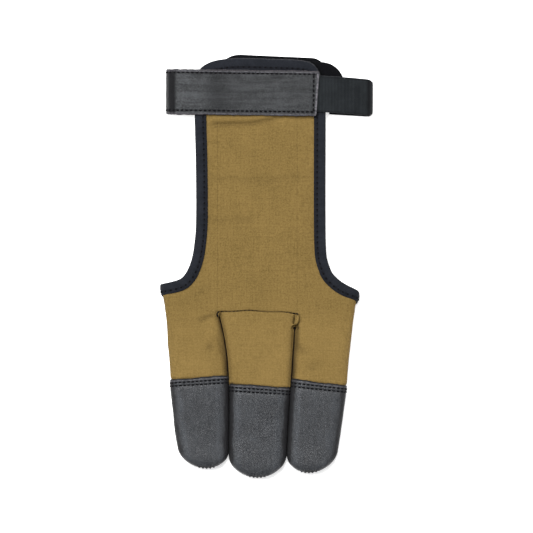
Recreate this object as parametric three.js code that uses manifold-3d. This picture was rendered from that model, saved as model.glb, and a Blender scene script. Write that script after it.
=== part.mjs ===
// A shooting glove for three fingers of the string hand, lying palm side down.
// Millimetres, +Z up. Across the hand x is 0 on the axis of the middle finger, along it y is 0 at the seam of
// the middle sleeve and grows towards the wrist, and z is the height above the surface. The last lines bring
// the origin to the middle of the footprint.
import * as THREE from "three";
import { mergeVertices } from "three/addons/utils/BufferGeometryUtils.js";
import Module from "manifold-3d";

const wasm = await Module();
wasm.setup();

// Thicknesses, and the room left between pieces
const FABRIC = 1.6;
const HEM = 1.0; // the fabric pressed thin under the leather
const LEATHER = 1.4;
const TAPE = 0.7;
const ELASTIC = 1.3;
const TAB = 1.2;
const CLEARANCE = 0.3;
const TAPE_CLEARANCE = 0.35;
const PROUD = 0.35; // how far the leather stands out of the fabric
const STALL_GAP = 0.5; // between the leather of neighbouring fingers

// Fingers, from the seam on the back of the hand to the end of the fingertip
const MIDDLE_LENGTH = 86.9;
const INDEX_LENGTH = 82.1;
const RING_LENGTH = 84.5;
const MIDDLE_WIDTH = 31.9;
const INDEX_WIDTH = 30.4;
const RING_WIDTH = 29.6;
const STALL_HEIGHT = 12.5;
const TIP_DROP = 1.1; // how much lower the leather is at the end of a finger
const MIDDLE_PUFF = 0.75; // how far the middle sleeve bulges above its neighbours
const MIDDLE_END = 12; // how far the end of each finger takes to round off
const INDEX_END = 10;
const RING_END = 11;
const INDEX_LEAN = 0.8; // sideways shift of the end of the finger
const RING_LEAN = -0.5;
const UNDERLAP = 7; // fabric inside the leather
const MIDDLE_TIP = 47.75; // leather on the axis of each finger
const INDEX_TIP = 47.2;
const RING_TIP = 47.1;
const MIDDLE_SLANT = -0.074; // slope of the leather's edge across the finger
const INDEX_SLANT = 0.075;
const RING_SLANT = -0.127;

// Back panel
const HAND_LENGTH = 130.55; // fabric from the middle seam to the wrist
const TONGUE_WIDTH = 65.4;
const TONGUE_SHIFT = 0.37;
const FLARE_HEIGHT = 32.1; // how far the tongue takes to widen to the fingers
const INDEX_WING = 12.9; // the outer corner of the index sleeve's mouth
const RING_WING = 8.9;
const PALM_SETBACK = 4.6; // how much further out the mouths begin on the palm side
const SHOULDER = 5; // where a sleeve's round side passes into the panel
const SEAM_BOW = 0.8;
const HAND_SAG = 0.8;
const HAND_ARCH = 0.9;
const SHEET_LAP = 0.05; // the panel over the top walls of its sleeves
const BINDING_WIDTH = 6.1;
const BINDING_ROUND = 0.35;

// Wrist closure
const WRIST_OPENING = 6.4; // free height inside the closed strap
const STRAP_WIDTH = 23.6;
const STRAP_OVERHANG = 16.6; // the fold beside the tongue
const STRAP_FRONT = 79.9; // from the fold to the end on the back of the wrist
const STRAP_RETURN = 47.1; // from the fold to the end on the palm side
const STRAP_SETBACK = 16.8; // the strap's centre line from the wrist end of the fabric
const STRAP_SLOPE = -0.0144;
const STRAP_SKEW = 1.6; // the strap's end is cut aslant
const STRAP_FOLD = 5;
const ELASTIC_WIDTH = 19;
const ELASTIC_OVERHANG = 25.5;
const ELASTIC_TUCK = 11; // under the end of the strap
const ELASTIC_GAP = 1.7; // between the elastic's end and the lower tab, on the palm side
const ELASTIC_SLOPE = -0.06;
const ELASTIC_SLIP = 0.8; // how much further out the palm side layer lies
const HOOK_LENGTH = 53.1;
const HOOK_WIDTH = 26;
const HOOK_ROUND = 8;
const HOOK_UNDERLAP = 17; // under the end of the strap
const HOOK_SETBACK = 11.5; // the tab's centre line from the wrist end of the fabric
const LOOP_LENGTH = 45;
const LOOP_WIDTH = 25;
const LOOP_ROUND = 12;
const LOOP_SETBACK = 13.6;
const TAB_SLOPE = -0.045; // both tabs lie a little askew

// Outlines of the fingers: half widths of the middle finger and whole widths of its neighbours, as shares of
// their named widths, against the share of the finger's length below the seam
const MIDDLE_OUTLINE = [
  { down: 0, left: 0.677, right: 0.602 },
  { down: 0.1, left: 0.608, right: 0.558 },
  { down: 0.2, left: 0.555, right: 0.541 },
  { down: 0.3, left: 0.52, right: 0.52 },
  { down: 0.437, left: 0.5, right: 0.497 },
  { down: 0.598, left: 0.498, right: 0.464 },
  { down: 0.774, left: 0.505, right: 0.439 },
  { down: 0.898, left: 0.502, right: 0.42 },
  { down: 1, left: 0.498, right: 0.408 },
];
const INDEX_OUTLINE = [
  { down: -0.122, width: 0.957 },
  { down: -0.079, width: 0.942 },
  { down: 0, width: 0.911 },
  { down: 0.11, width: 0.952 },
  { down: 0.225, width: 0.992 },
  { down: 0.339, width: 1 },
  { down: 0.438, width: 1 },
  { down: 0.566, width: 0.974 },
  { down: 0.643, width: 0.951 },
  { down: 0.719, width: 0.931 },
  { down: 0.795, width: 0.898 },
  { down: 0.871, width: 0.859 },
  { down: 1, width: 0.8 },
];
const RING_OUTLINE = [
  { down: -0.077, width: 1.056 },
  { down: 0, width: 1.008 },
  { down: 0.107, width: 1.018 },
  { down: 0.219, width: 0.998 },
  { down: 0.329, width: 0.988 },
  { down: 0.426, width: 0.98 },
  { down: 0.514, width: 0.963 },
  { down: 0.625, width: 0.949 },
  { down: 0.734, width: 0.922 },
  { down: 0.809, width: 0.899 },
  { down: 0.883, width: 0.878 },
  { down: 1, width: 0.83 },
];

// The flares from the tongue to the outer side of a sleeve: the share of the flare's height above the wing's
// corner, and the share of the way out from the tongue
const LEFT_FLARE = [
  { rise: 0, out: 1 },
  { rise: 0.01, out: 0.925 },
  { rise: 0.036, out: 0.698 },
  { rise: 0.081, out: 0.466 },
  { rise: 0.171, out: 0.31 },
  { rise: 0.305, out: 0.191 },
  { rise: 0.474, out: 0.1 },
  { rise: 0.688, out: 0.043 },
  { rise: 0.935, out: 0.005 },
];
const RIGHT_FLARE = [
  { rise: 0, out: 1 },
  { rise: 0.031, out: 0.966 },
  { rise: 0.051, out: 0.906 },
  { rise: 0.089, out: 0.729 },
  { rise: 0.157, out: 0.509 },
  { rise: 0.226, out: 0.354 },
  { rise: 0.313, out: 0.206 },
  { rise: 0.431, out: 0.114 },
  { rise: 0.569, out: 0.04 },
  { rise: 0.766, out: 0.009 },
];

// The tongue's two sides at the wrist: how far they lie below the wrist end, as a share of the tongue's
// width, and how far out, as a share of its half
const LEFT_CORNER = [
  { drop: 0.92, out: 1 },
  { drop: 0.45, out: 1.02 },
  { drop: 0.283, out: 1.02 },
  { drop: 0.168, out: 1.002 },
  { drop: 0.08, out: 0.938 },
  { drop: 0.05, out: 0.852 },
  { drop: 0.028, out: 0.765 },
  { drop: 0.0115, out: 0.641 },
  { drop: 0.0015, out: 0.485 },
  { drop: 0, out: 0.164 },
];
const RIGHT_CORNER = [
  { drop: 0.0046, out: 0.14 },
  { drop: 0.016, out: 0.625 },
  { drop: 0.042, out: 0.8 },
  { drop: 0.0925, out: 0.885 },
  { drop: 0.1445, out: 0.927 },
  { drop: 0.237, out: 0.976 },
  { drop: 0.344, out: 0.998 },
  { drop: 0.459, out: 1 },
];

// Mouths of the index and ring sleeves: the turn from the top through the outer side, in whole turns, and
// how far the mouth is set back from the wing's corner, as a share of the setback on the palm side
const MOUTH = [
  { turn: 0.25, back: 0 },
  { turn: 0.34, back: 0.25 },
  { turn: 0.5, back: 0.55 },
  { turn: 0.68, back: 0.95 },
  { turn: 0.8, back: 1 },
];

// Creases across the back of the hand: the share of its length above the seam, the stretch from left to
// right as shares of the tongue's half width, the depth and the width as shares of the fabric's thickness
const CREASES = [
  { up: 0.731, from: -0.78, to: 0.03, depth: 0.31, width: 1.4 },
  { up: 0.52, from: -0.95, to: 0.95, depth: 0.2, width: 1.9 },
  { up: 0.352, from: -0.6, to: 0.75, depth: 0.12, width: 2.2 },
];

// The elastic beside the wrist: shares of its overhang and of its height
const ELASTIC_BEND = [
  { out: 0.07, up: 1 },
  { out: 0.2, up: 0.985 },
  { out: 0.36, up: 0.93 },
  { out: 0.62, up: 0.79 },
  { out: 0.84, up: 0.61 },
  { out: 0.95, up: 0.42 },
  { out: 0.975, up: 0.25 },
  { out: 0.92, up: 0.07 },
  { out: 0.8, up: 0 },
  { out: 0.7, up: 0 },
];

// Shape of the sections
const ROUND_SIDE = 3; // superellipse exponents: a round side, and a side pressed flat by its neighbour
const PRESSED_SIDE = 6;
const MIDDLE_SIDE = 5;
const PRESSED_LENGTH = 25; // how far below the seam the sides stay pressed
const SLANT_FADE = 20; // how far the slant of the leather's edge spreads along the finger
const RING_POINTS = 24;
// Where the binding is placed round the mouth of a sleeve, in turns from the top
const BINDING_TURNS = [0.17, 0.2, 0.23, 0.26, 0.29, 0.33, 0.37, 0.41, 0.45, 0.5, 0.54, 0.58, 0.61];
const DOME = [1, 0.75, 0.5, 0.3, 0.15, 0.05]; // rings of a rounded end, as shares of its length
const HOLLOW_DOME = [1, 0.6, 0.3, 0.1];
const LEATHER_ROWS = 6; // rings along the straight part of a fingertip, outside and inside
const HOLLOW_ROWS = 4;
const SLEEVE_ROWS = 6;
const SHEET_COLUMNS = 19;
const SHEET_ROWS = 25;
const SHEET_CROWDING = 1.3; // columns crowd towards the panel's sides
const OUTLINE_STEP = 7; // the longest stretch of the panel's outline between two points
const SHOULDER_ROOM = 0.05; // share of the flare kept free of other points beside the shoulder
const STRAP_SAMPLES = 46;
const ELASTIC_SAMPLES = 30;
const BEND_SAMPLES = 5;
const RAMP_SAMPLES = 7;
const CORNER_SEGMENTS = 8;

const clamp = THREE.MathUtils.clamp;
const lerp = THREE.MathUtils.lerp;
const smooth = (value) => THREE.MathUtils.smoothstep(value, 0, 1);
const steps = (count) => Array.from({ length: count }, (_, k) => k);
const spread = (from, to, count) => steps(count).map((k) => lerp(from, to, k / (count - 1)));

// A smooth curve through two columns of a table that never swings past its rows, level beyond the ends
function reader(table, from, to) {
  const rows = [...table].sort((a, b) => a[from] - b[from]);
  const rise = (k) => (rows[k + 1][to] - rows[k][to]) / (rows[k + 1][from] - rows[k][from]);
  const slope = rows.map((_, k) => {
    const before = rise(Math.max(0, k - 1));
    const after = rise(Math.min(k, rows.length - 2));
    return before * after > 0 ? (2 * before * after) / (before + after) : 0;
  });
  return (value) => {
    const last = rows.length - 1;
    const at = clamp(value, rows[0][from], rows[last][from]);
    const k = clamp(rows.findIndex((row) => row[from] >= at) - 1, 0, last - 1);
    const width = rows[k + 1][from] - rows[k][from];
    const t = (at - rows[k][from]) / width;
    return (
      (1 + 2 * t) * (1 - t) ** 2 * rows[k][to] +
      t * (1 - t) ** 2 * width * slope[k] +
      t ** 2 * (3 - 2 * t) * rows[k + 1][to] +
      t ** 2 * (t - 1) * width * slope[k + 1]
    );
  };
}

// Geometry from points and triangles, turned so that its faces point out
function body(points, triangles) {
  const volume = triangles.reduce((sum, [a, b, c]) => {
    const cross = new THREE.Vector3().crossVectors(points[b], points[c]);
    return sum + points[a].dot(cross);
  }, 0);
  const index = triangles.flatMap(([a, b, c]) => (volume > 0 ? [a, b, c] : [a, c, b]));
  const geometry = new THREE.BufferGeometry().setFromPoints(points);
  geometry.setIndex(index);
  return geometry;
}

// A closed skin over a chain of rings. A ring of one point is a pole. A looped chain joins its last ring to
// its first, as the wall of a tube does.
function skin(rings, looped) {
  const starts = [];
  const points = [];
  for (const ring of rings) {
    starts.push(points.length);
    points.push(...ring);
  }
  const triangles = [];
  const pairs = looped ? rings.length : rings.length - 1;
  for (let r = 0; r < pairs; r += 1) {
    const next = (r + 1) % rings.length;
    const count = Math.max(rings[r].length, rings[next].length);
    for (let k = 0; k < count; k += 1) {
      const here = (step) => starts[r] + (rings[r].length === 1 ? 0 : (k + step) % count);
      const there = (step) => starts[next] + (rings[next].length === 1 ? 0 : (k + step) % count);
      if (rings[next].length > 1) triangles.push([here(0), there(1), there(0)]);
      if (rings[r].length > 1) triangles.push([here(0), here(1), there(1)]);
    }
  }
  return body(points, triangles);
}

// A bar through rings of the same count, with its two flat ends closed
function bar(rings) {
  const size = rings[0].length;
  const last = (rings.length - 1) * size;
  const ends = THREE.ShapeUtils.triangulateShape(sectionShape(rings[0]), []);
  const triangles = [...ends.map(([a, b, c]) => [c, b, a]), ...ends.map((face) => face.map((k) => k + last))];
  steps(rings.length - 1).forEach((r) => {
    steps(size).forEach((k) => {
      const a = r * size + k;
      const b = r * size + ((k + 1) % size);
      triangles.push([a, b, b + size], [a, b + size, a + size]);
    });
  });
  return body(rings.flat(), triangles);
}

// A ring of points in space as a flat shape, seen along its normal
function sectionShape(ring) {
  const across = ring[1].clone().sub(ring[0]).normalize();
  const normal = new THREE.Vector3();
  ring.forEach((point, k) => {
    const next = ring[(k + 1) % ring.length];
    normal.add(new THREE.Vector3().crossVectors(point, next));
  });
  const up = new THREE.Vector3().crossVectors(normal.normalize(), across);
  return ring.map((point) => new THREE.Vector2(point.dot(across), point.dot(up)));
}

function toSolid(geometry) {
  const bare = new THREE.BufferGeometry();
  bare.setAttribute("position", geometry.getAttribute("position"));
  bare.setIndex(geometry.getIndex());
  const merged = mergeVertices(bare);
  const vertProperties = merged.getAttribute("position").array;
  const triVerts = new Uint32Array(merged.getIndex().array);
  return new wasm.Manifold(new wasm.Mesh({ numProp: 3, vertProperties, triVerts }));
}

function toGeometry(solid) {
  const { vertProperties, triVerts } = solid.getMesh();
  const geometry = new THREE.BufferGeometry();
  geometry.setAttribute("position", new THREE.BufferAttribute(vertProperties, 3));
  geometry.setIndex(new THREE.BufferAttribute(triVerts, 1));
  return geometry;
}

// Heights that pieces share
const hemInset = LEATHER + CLEARANCE;
const tapeReach = TAPE_CLEARANCE + TAPE;
const fabricTop = STALL_HEIGHT - PROUD;
const mouthFloor = tapeReach - PROUD; // the binding's lower lip then lies on the surface
const strapBack = TAB + CLEARANCE;
const loopBottom = ELASTIC + CLEARANCE;
const openingBottom = Math.max(strapBack + LEATHER, loopBottom + TAB);
const wristTop = openingBottom + WRIST_OPENING + tapeReach + FABRIC;
const strapFront = wristTop + tapeReach + CLEARANCE;

// The three fingers. A section is two halves of superellipses, an outer and an inner side, between a left
// and a right limit, a bottom and a top.
const middleLeft = reader(MIDDLE_OUTLINE, "down", "left");
const middleRight = reader(MIDDLE_OUTLINE, "down", "right");
const indexWidth = reader(INDEX_OUTLINE, "down", "width");
const ringWidth = reader(RING_OUTLINE, "down", "width");
const leftOfMiddle = (y) => -MIDDLE_WIDTH * middleLeft(-y / MIDDLE_LENGTH);
const rightOfMiddle = (y) => MIDDLE_WIDTH * middleRight(-y / MIDDLE_LENGTH);
const rightOfIndex = (y) => leftOfMiddle(y) - STALL_GAP;
const leftOfRing = (y) => rightOfMiddle(y) + STALL_GAP;
const pressed = (y, exponent) => lerp(exponent, ROUND_SIDE, smooth(-y / PRESSED_LENGTH));

const MIDDLE = {
  outward: -1,
  left: leftOfMiddle,
  right: rightOfMiddle,
  outerSide: (y) => pressed(y, MIDDLE_SIDE),
  innerSide: (y) => pressed(y, MIDDLE_SIDE),
  puff: MIDDLE_PUFF,
  length: MIDDLE_LENGTH,
  edge: MIDDLE_TIP - MIDDLE_LENGTH,
  slant: MIDDLE_SLANT,
  end: MIDDLE_END,
  lean: 0,
};
const INDEX = {
  outward: -1,
  left: (y) => rightOfIndex(y) - INDEX_WIDTH * indexWidth(-y / INDEX_LENGTH),
  right: rightOfIndex,
  outerSide: () => ROUND_SIDE,
  innerSide: (y) => pressed(y, PRESSED_SIDE),
  puff: 0,
  length: INDEX_LENGTH,
  edge: INDEX_TIP - INDEX_LENGTH,
  slant: INDEX_SLANT,
  end: INDEX_END,
  lean: INDEX_LEAN,
};
const RING = {
  outward: 1,
  left: leftOfRing,
  right: (y) => leftOfRing(y) + RING_WIDTH * ringWidth(-y / RING_LENGTH),
  outerSide: () => ROUND_SIDE,
  innerSide: (y) => pressed(y, PRESSED_SIDE),
  puff: 0,
  length: RING_LENGTH,
  edge: RING_TIP - RING_LENGTH,
  slant: RING_SLANT,
  end: RING_END,
  lean: RING_LEAN,
};

const power = (value, exponent) => Math.sign(value) * Math.abs(value) ** (2 / exponent);

// A point of a finger's wall, inset from the leather's surface, a turn round from the top through the outer
// side
function wallPoint(finger, turn, y, inset) {
  const endY = inset - finger.length;
  const along = clamp((y - endY) / (finger.end - inset), 0, 1);
  const narrow = Math.sqrt(1 - (1 - along) ** 2);
  const low = Math.cbrt(1 - (1 - along) ** 3);
  const leather = smooth((finger.edge - y) / (finger.length + finger.edge - finger.end));
  const sleeveShare = clamp(y / finger.edge, 0, 1);
  const bulge = finger.puff * Math.sin(Math.PI * Math.sqrt(sleeveShare));
  const top = STALL_HEIGHT + bulge - TIP_DROP * leather;
  const bottom = mouthFloor * smooth(1 - sleeveShare);
  const centreX = (finger.left(y) + finger.right(y)) / 2 + finger.lean * (1 - along);
  const halfWidth = ((finger.right(y) - finger.left(y)) / 2 - inset) * narrow;
  const halfHeight = ((top - bottom) / 2 - inset) * low;
  const angle = turn * 2 * Math.PI;
  const exponent = Math.sin(angle) >= 0 ? finger.outerSide(y) : finger.innerSide(y);
  const x = centreX + finger.outward * halfWidth * power(Math.sin(angle), exponent);
  const z = (top + bottom) / 2 + halfHeight * power(Math.cos(angle), exponent);
  const slant = finger.slant * clamp(1 - Math.abs(y - finger.edge) / SLANT_FADE, 0, 1);
  return new THREE.Vector3(x, y + slant * (x - centreX), z);
}

const turns = steps(RING_POINTS).map((k) => k / RING_POINTS);

function wallRing(finger, y, inset) {
  return turns.map((turn) => wallPoint(finger, turn, y, inset));
}

// A leather fingertip: a hollow shell, open towards the hand
function fingertip(finger) {
  const shell = (inset, dome, rows) => {
    const endY = inset - finger.length;
    const length = finger.end - inset;
    const straight = spread(finger.edge, endY + length, rows).slice(0, -1);
    const rings = [...straight, ...dome.map((share) => endY + share * length)].map((y) => wallRing(finger, y, inset));
    const pole = wallPoint(finger, 0.25, endY, inset);
    return [...rings, [pole]];
  };
  const outer = shell(0, DOME, LEATHER_ROWS);
  const inner = shell(LEATHER, HOLLOW_DOME, HOLLOW_ROWS);
  return skin([...outer.reverse(), ...inner], false);
}

// A fabric sleeve: a tube from its mouth to a thin hem inside the leather
function sleeve(finger, mouth) {
  const step = 2 * CLEARANCE;
  const chain = (inset, underInset, fold) => [
    turns.map((turn) => wallPoint(finger, turn, mouth(turn), inset)),
    ...spread(0, finger.edge + fold, SLEEVE_ROWS).map((y) => wallRing(finger, y, inset)),
    wallRing(finger, finger.edge + fold - step, underInset),
    wallRing(finger, finger.edge - UNDERLAP, underInset),
  ];
  const outer = chain(PROUD, hemInset, CLEARANCE + step);
  const inner = chain(PROUD + FABRIC, hemInset + HEM, CLEARANCE + FABRIC);
  return skin([...outer, ...inner.reverse()], true);
}

// The fabric's outline on the back of the hand
const tongueLeft = TONGUE_SHIFT - TONGUE_WIDTH / 2;
const tongueRight = TONGUE_SHIFT + TONGUE_WIDTH / 2;
const outerX = (finger, wing) => wallPoint(finger, 0.25, wing, PROUD).x;
const WINGS = {
  left: { finger: INDEX, y: INDEX_WING, tongue: tongueLeft, outer: outerX(INDEX, INDEX_WING), table: LEFT_FLARE },
  right: { finger: RING, y: RING_WING, tongue: tongueRight, outer: outerX(RING, RING_WING), table: RIGHT_FLARE },
};
for (const wing of Object.values(WINGS)) {
  wing.riseAt = reader(wing.table, "out", "rise");
  wing.outShare = (x) => (x - wing.tongue) / (wing.outer - wing.tongue);
  wing.edgeY = (x) => wing.y + FLARE_HEIGHT * wing.riseAt(wing.outShare(x));
  wing.shoulder = wing.outer - wing.finger.outward * SHOULDER;
}

function flarePoints(wing) {
  const inside = wing.table.filter((row) => row.out < wing.outShare(wing.shoulder) - SHOULDER_ROOM);
  const rows = inside.map(({ rise, out }) => [lerp(wing.tongue, wing.outer, out), wing.y + FLARE_HEIGHT * rise]);
  return [[wing.shoulder, wing.edgeY(wing.shoulder)], ...rows];
}

function cornerPoints(table, side) {
  return table.map(({ drop, out }) => [
    TONGUE_SHIFT + (side * out * TONGUE_WIDTH) / 2,
    HAND_LENGTH - drop * TONGUE_WIDTH,
  ]);
}

const outlineCurve = new THREE.CatmullRomCurve3(
  [
    ...flarePoints(WINGS.left),
    ...cornerPoints(LEFT_CORNER, -1),
    ...cornerPoints(RIGHT_CORNER, 1),
    ...flarePoints(WINGS.right).reverse(),
  ].map(([x, y]) => new THREE.Vector3(x, y, 0)),
  false,
  "centripetal",
);
const outline = outlineCurve.points.flatMap((point, k, points) => {
  if (k === points.length - 1) return [point];
  const pieces = Math.ceil(point.distanceTo(points[k + 1]) / OUTLINE_STEP);
  return steps(pieces).map((piece) => outlineCurve.getPoint((k + piece / pieces) / (points.length - 1)));
});

// The height of the panel's upper face
const seamY = (x) => CLEARANCE / 2 + SEAM_BOW * Math.max(0, 1 - (x / (MIDDLE_WIDTH / 2)) ** 2);

function fingersTop(x, y) {
  const finger = x < 0 ? INDEX : RING;
  const y0 = Math.min(y, finger === INDEX ? INDEX_WING : RING_WING);
  const side = wallPoint(finger, 0.25, y0, PROUD).x;
  const ridge = wallPoint(finger, 0, y0, PROUD);
  const floor = wallPoint(finger, 0.5, y0, PROUD).z;
  const share = clamp((x - ridge.x) / (side - ridge.x), 0, 0.999);
  const half = (ridge.z - floor) / 2;
  return floor + half + half * (1 - share ** ROUND_SIDE) ** (1 / ROUND_SIDE);
}

function panelTop(x, y) {
  const up = clamp(y / HAND_LENGTH, 0, 1);
  const across = (x - TONGUE_SHIFT) / (TONGUE_WIDTH / 2);
  const free = Math.sin(Math.PI * up);
  const crease = CREASES.reduce((sum, { up: place, from, to, depth, width }) => {
    const away = (up - place) * (HAND_LENGTH / (width * FABRIC));
    const inside = smooth((across - from) * 4) * smooth((to - across) * 4);
    return sum + depth * FABRIC * inside * Math.exp(-away * away);
  }, 0);
  const hand = lerp(fabricTop, wristTop, up) - free * (HAND_SAG + HAND_ARCH * Math.min(1, across ** 2));
  const blend = smooth((y - INDEX_WING / 3) / FLARE_HEIGHT);
  return lerp(fingersTop(x, y), hand - crease, blend);
}

// A sheet as thick as the fabric, on a grid that is closer towards the sides and at the creases
function sheet() {
  const half = Math.max(-WINGS.left.outer, WINGS.right.outer);
  const xs = spread(-1, 1, SHEET_COLUMNS).map((t) => half * Math.sign(t) * (1 - (1 - Math.abs(t)) ** SHEET_CROWDING));
  const folds = CREASES.flatMap(({ up, width }) => [-1, 0, 1].map((k) => up * HAND_LENGTH + k * width * FABRIC));
  const rows = spread(-FABRIC, HAND_LENGTH + FABRIC, SHEET_ROWS);
  const clear = rows.filter((y) => folds.every((fold) => Math.abs(y - fold) > FABRIC));
  const ys = [...clear, ...folds].sort((a, b) => a - b);
  const points = [SHEET_LAP, SHEET_LAP - FABRIC].flatMap((lift) =>
    ys.flatMap((y) => xs.map((x) => new THREE.Vector3(x, y, panelTop(x, y) + lift))),
  );
  const size = xs.length * ys.length;
  const at = (row, column) => row * xs.length + column;
  const quads = [];
  for (let row = 0; row < ys.length - 1; row += 1) {
    for (let column = 0; column < xs.length - 1; column += 1) {
      const corners = [at(row, column), at(row, column + 1), at(row + 1, column + 1), at(row + 1, column)];
      quads.push(corners, corners.map((corner) => corner + size).reverse());
    }
  }
  const rim = [
    ...steps(xs.length - 1).map((k) => at(0, k)),
    ...steps(ys.length - 1).map((k) => at(k, xs.length - 1)),
    ...steps(xs.length - 1).map((k) => at(ys.length - 1, xs.length - 1 - k)),
    ...steps(ys.length - 1).map((k) => at(ys.length - 1 - k, 0)),
  ];
  rim.forEach((corner, k) => {
    const next = rim[(k + 1) % rim.length];
    quads.push([corner, corner + size, next + size, next]);
  });
  return body(points, quads.flatMap(([a, b, c, d]) => [[a, b, c], [a, c, d]]));
}

// The panel's outline as an upright block, closed along the seam of the middle sleeve
function outlineBlock() {
  const seam = spread(rightOfMiddle(0), leftOfMiddle(0), 9).map((x) => new THREE.Vector2(x, seamY(x)));
  const foot = [WINGS.right.shoulder, WINGS.left.shoulder].map((x) => new THREE.Vector2(x, seamY(x)));
  const shape = new THREE.Shape([...outline.map(({ x, y }) => new THREE.Vector2(x, y)), foot[0], ...seam, foot[1]]);
  const block = new THREE.ExtrudeGeometry(shape, { depth: 2 * STALL_HEIGHT, bevelEnabled: false });
  return block.translate(0, 0, -STALL_HEIGHT / 2);
}

// The mouth of a sleeve that is cut in one piece with the panel: along the flare as far as the shoulder,
// then set back on the palm side, and inside the panel's own thickness on top
const mouthBack = reader(MOUTH, "turn", "back");
function wingMouth(wing) {
  return (turn) => {
    if (turn >= 0.25) return wing.y - PALM_SETBACK * mouthBack(turn);
    const x = wallPoint(wing.finger, turn, wing.y, PROUD).x;
    const beyond = wing.finger.outward * (x - wing.shoulder);
    return beyond > 0 ? wing.edgeY(x) : wing.y - PALM_SETBACK;
  };
}

function backPanel() {
  const back = toSolid(sheet()).intersect(toSolid(outlineBlock()));
  const index = toSolid(sleeve(INDEX, wingMouth(WINGS.left)));
  const ring = toSolid(sleeve(RING, wingMouth(WINGS.right)));
  return toGeometry(back.add(index).add(ring));
}

function middleSleeve() {
  const mouth = (turn) => {
    const point = wallPoint(MIDDLE, turn, 0, PROUD);
    return point.z > STALL_HEIGHT / 2 ? seamY(point.x) - CLEARANCE : -CLEARANCE / 2;
  };
  return sleeve(MIDDLE, mouth);
}

// The binding: a tape folded round the fabric's edge. A station finds a point of the tape's section from its
// depth inside the fabric's edge and its height above the middle of the fabric's thickness.
function mouthStation(wing, turn) {
  const y = wingMouth(wing)(turn);
  return (depth, height) => wallPoint(wing.finger, turn, y - depth, PROUD + FABRIC / 2 - height);
}

function panelStation(point, k) {
  const before = outline[Math.max(0, k - 1)];
  const after = outline[Math.min(outline.length - 1, k + 1)];
  const forward = after.clone().sub(before).normalize();
  return (depth, height) => {
    const x = point.x + forward.y * depth;
    const y = point.y - forward.x * depth;
    return new THREE.Vector3(x, y, panelTop(x, y) + SHEET_LAP - FABRIC / 2 + height);
  };
}

function edgeBinding() {
  const around = [...BINDING_TURNS].reverse();
  const left = around.map((turn) => mouthStation(WINGS.left, turn));
  const right = BINDING_TURNS.map((turn) => mouthStation(WINGS.right, turn));
  const stations = [...left, ...outline.map(panelStation), ...right];
  const fold = FABRIC / 2 + TAPE_CLEARANCE;
  const face = fold + TAPE;
  const lip = BINDING_WIDTH - tapeReach;
  const section = [
    [lip, face],
    [BINDING_ROUND - tapeReach, face],
    [-tapeReach, face - BINDING_ROUND],
    [-tapeReach, BINDING_ROUND - face],
    [BINDING_ROUND - tapeReach, -face],
    [lip, -face],
    [lip, -fold],
    [-TAPE_CLEARANCE, -fold],
    [-TAPE_CLEARANCE, fold],
    [lip, fold],
  ];
  return bar(stations.map((place) => section.map(([depth, height]) => place(depth, height))));
}

// A flat band along a path seen from the wrist end, with its centre line and its slanted start given apart
function band({ path, samples, thickness, width, centreY, skew }) {
  const curve = new THREE.CatmullRomCurve3(path.map(([x, z]) => new THREE.Vector3(x, 0, z)), false, "centripetal");
  const rings = steps(samples + 1).map((k) => {
    const point = curve.getPoint(k / samples);
    point.z = Math.max(point.z, thickness / 2);
    const tangent = curve.getTangent(k / samples);
    const normal = new THREE.Vector3(-tangent.z, 0, tangent.x).multiplyScalar(thickness / 2);
    const middle = centreY(point);
    const corners = [[1, 1], [1, -1], [-1, -1], [-1, 1]];
    return corners.map(([side, face]) => {
      const slip = k === 0 ? (side * skew) / 2 : 0;
      return new THREE.Vector3(point.x + slip, middle + (side * width) / 2, point.z).addScaledVector(normal, face);
    });
  });
  return bar(rings);
}

// A band's path from one level to another
function ramp([x0, z0], [x1, z1]) {
  return spread(0, 1, RAMP_SAMPLES).map((share) => [lerp(x0, x1, share), lerp(z0, z1, smooth(share))]);
}

const strapLeft = tongueLeft - STRAP_OVERHANG;
const strapEnd = strapLeft + STRAP_FRONT;
const returnEnd = strapLeft + STRAP_RETURN;
const hookLeft = returnEnd - HOOK_UNDERLAP;
const strapY = (x) => HAND_LENGTH - STRAP_SETBACK + STRAP_SLOPE * (x - strapLeft);

function wristStrap() {
  const high = strapFront + LEATHER / 2;
  const low = LEATHER / 2;
  const lift = ELASTIC + CLEARANCE;
  const foldX = strapLeft + STRAP_FOLD;
  const bend = steps(BEND_SAMPLES).map((k) => {
    const angle = ((k + 1) * Math.PI) / (BEND_SAMPLES + 1);
    const x = foldX - (STRAP_FOLD - LEATHER / 2) * Math.sin(angle);
    return [x, (high + low) / 2 + ((high - low) / 2) * Math.cos(angle)];
  });
  const path = [
    [strapEnd - STRAP_SKEW / 2, high + lift],
    [strapEnd - ELASTIC_TUCK / 2, high + lift],
    ...ramp([strapEnd - ELASTIC_TUCK - CLEARANCE, high + lift], [strapEnd - 3 * ELASTIC_TUCK, high]),
    [lerp(foldX, strapEnd, 0.4), high],
    [lerp(foldX, strapEnd, 0.2), high],
    [foldX + CLEARANCE, high],
    ...bend,
    [foldX + CLEARANCE, low],
    ...ramp([foldX + STRAP_FOLD / 2, low], [hookLeft - CLEARANCE, strapBack + low]),
    [(hookLeft + returnEnd) / 2, strapBack + low],
    [returnEnd, strapBack + low],
  ];
  const centreY = (point) => strapY(point.x);
  return band({ path, samples: STRAP_SAMPLES, thickness: LEATHER, width: STRAP_WIDTH, centreY, skew: STRAP_SKEW });
}

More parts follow.
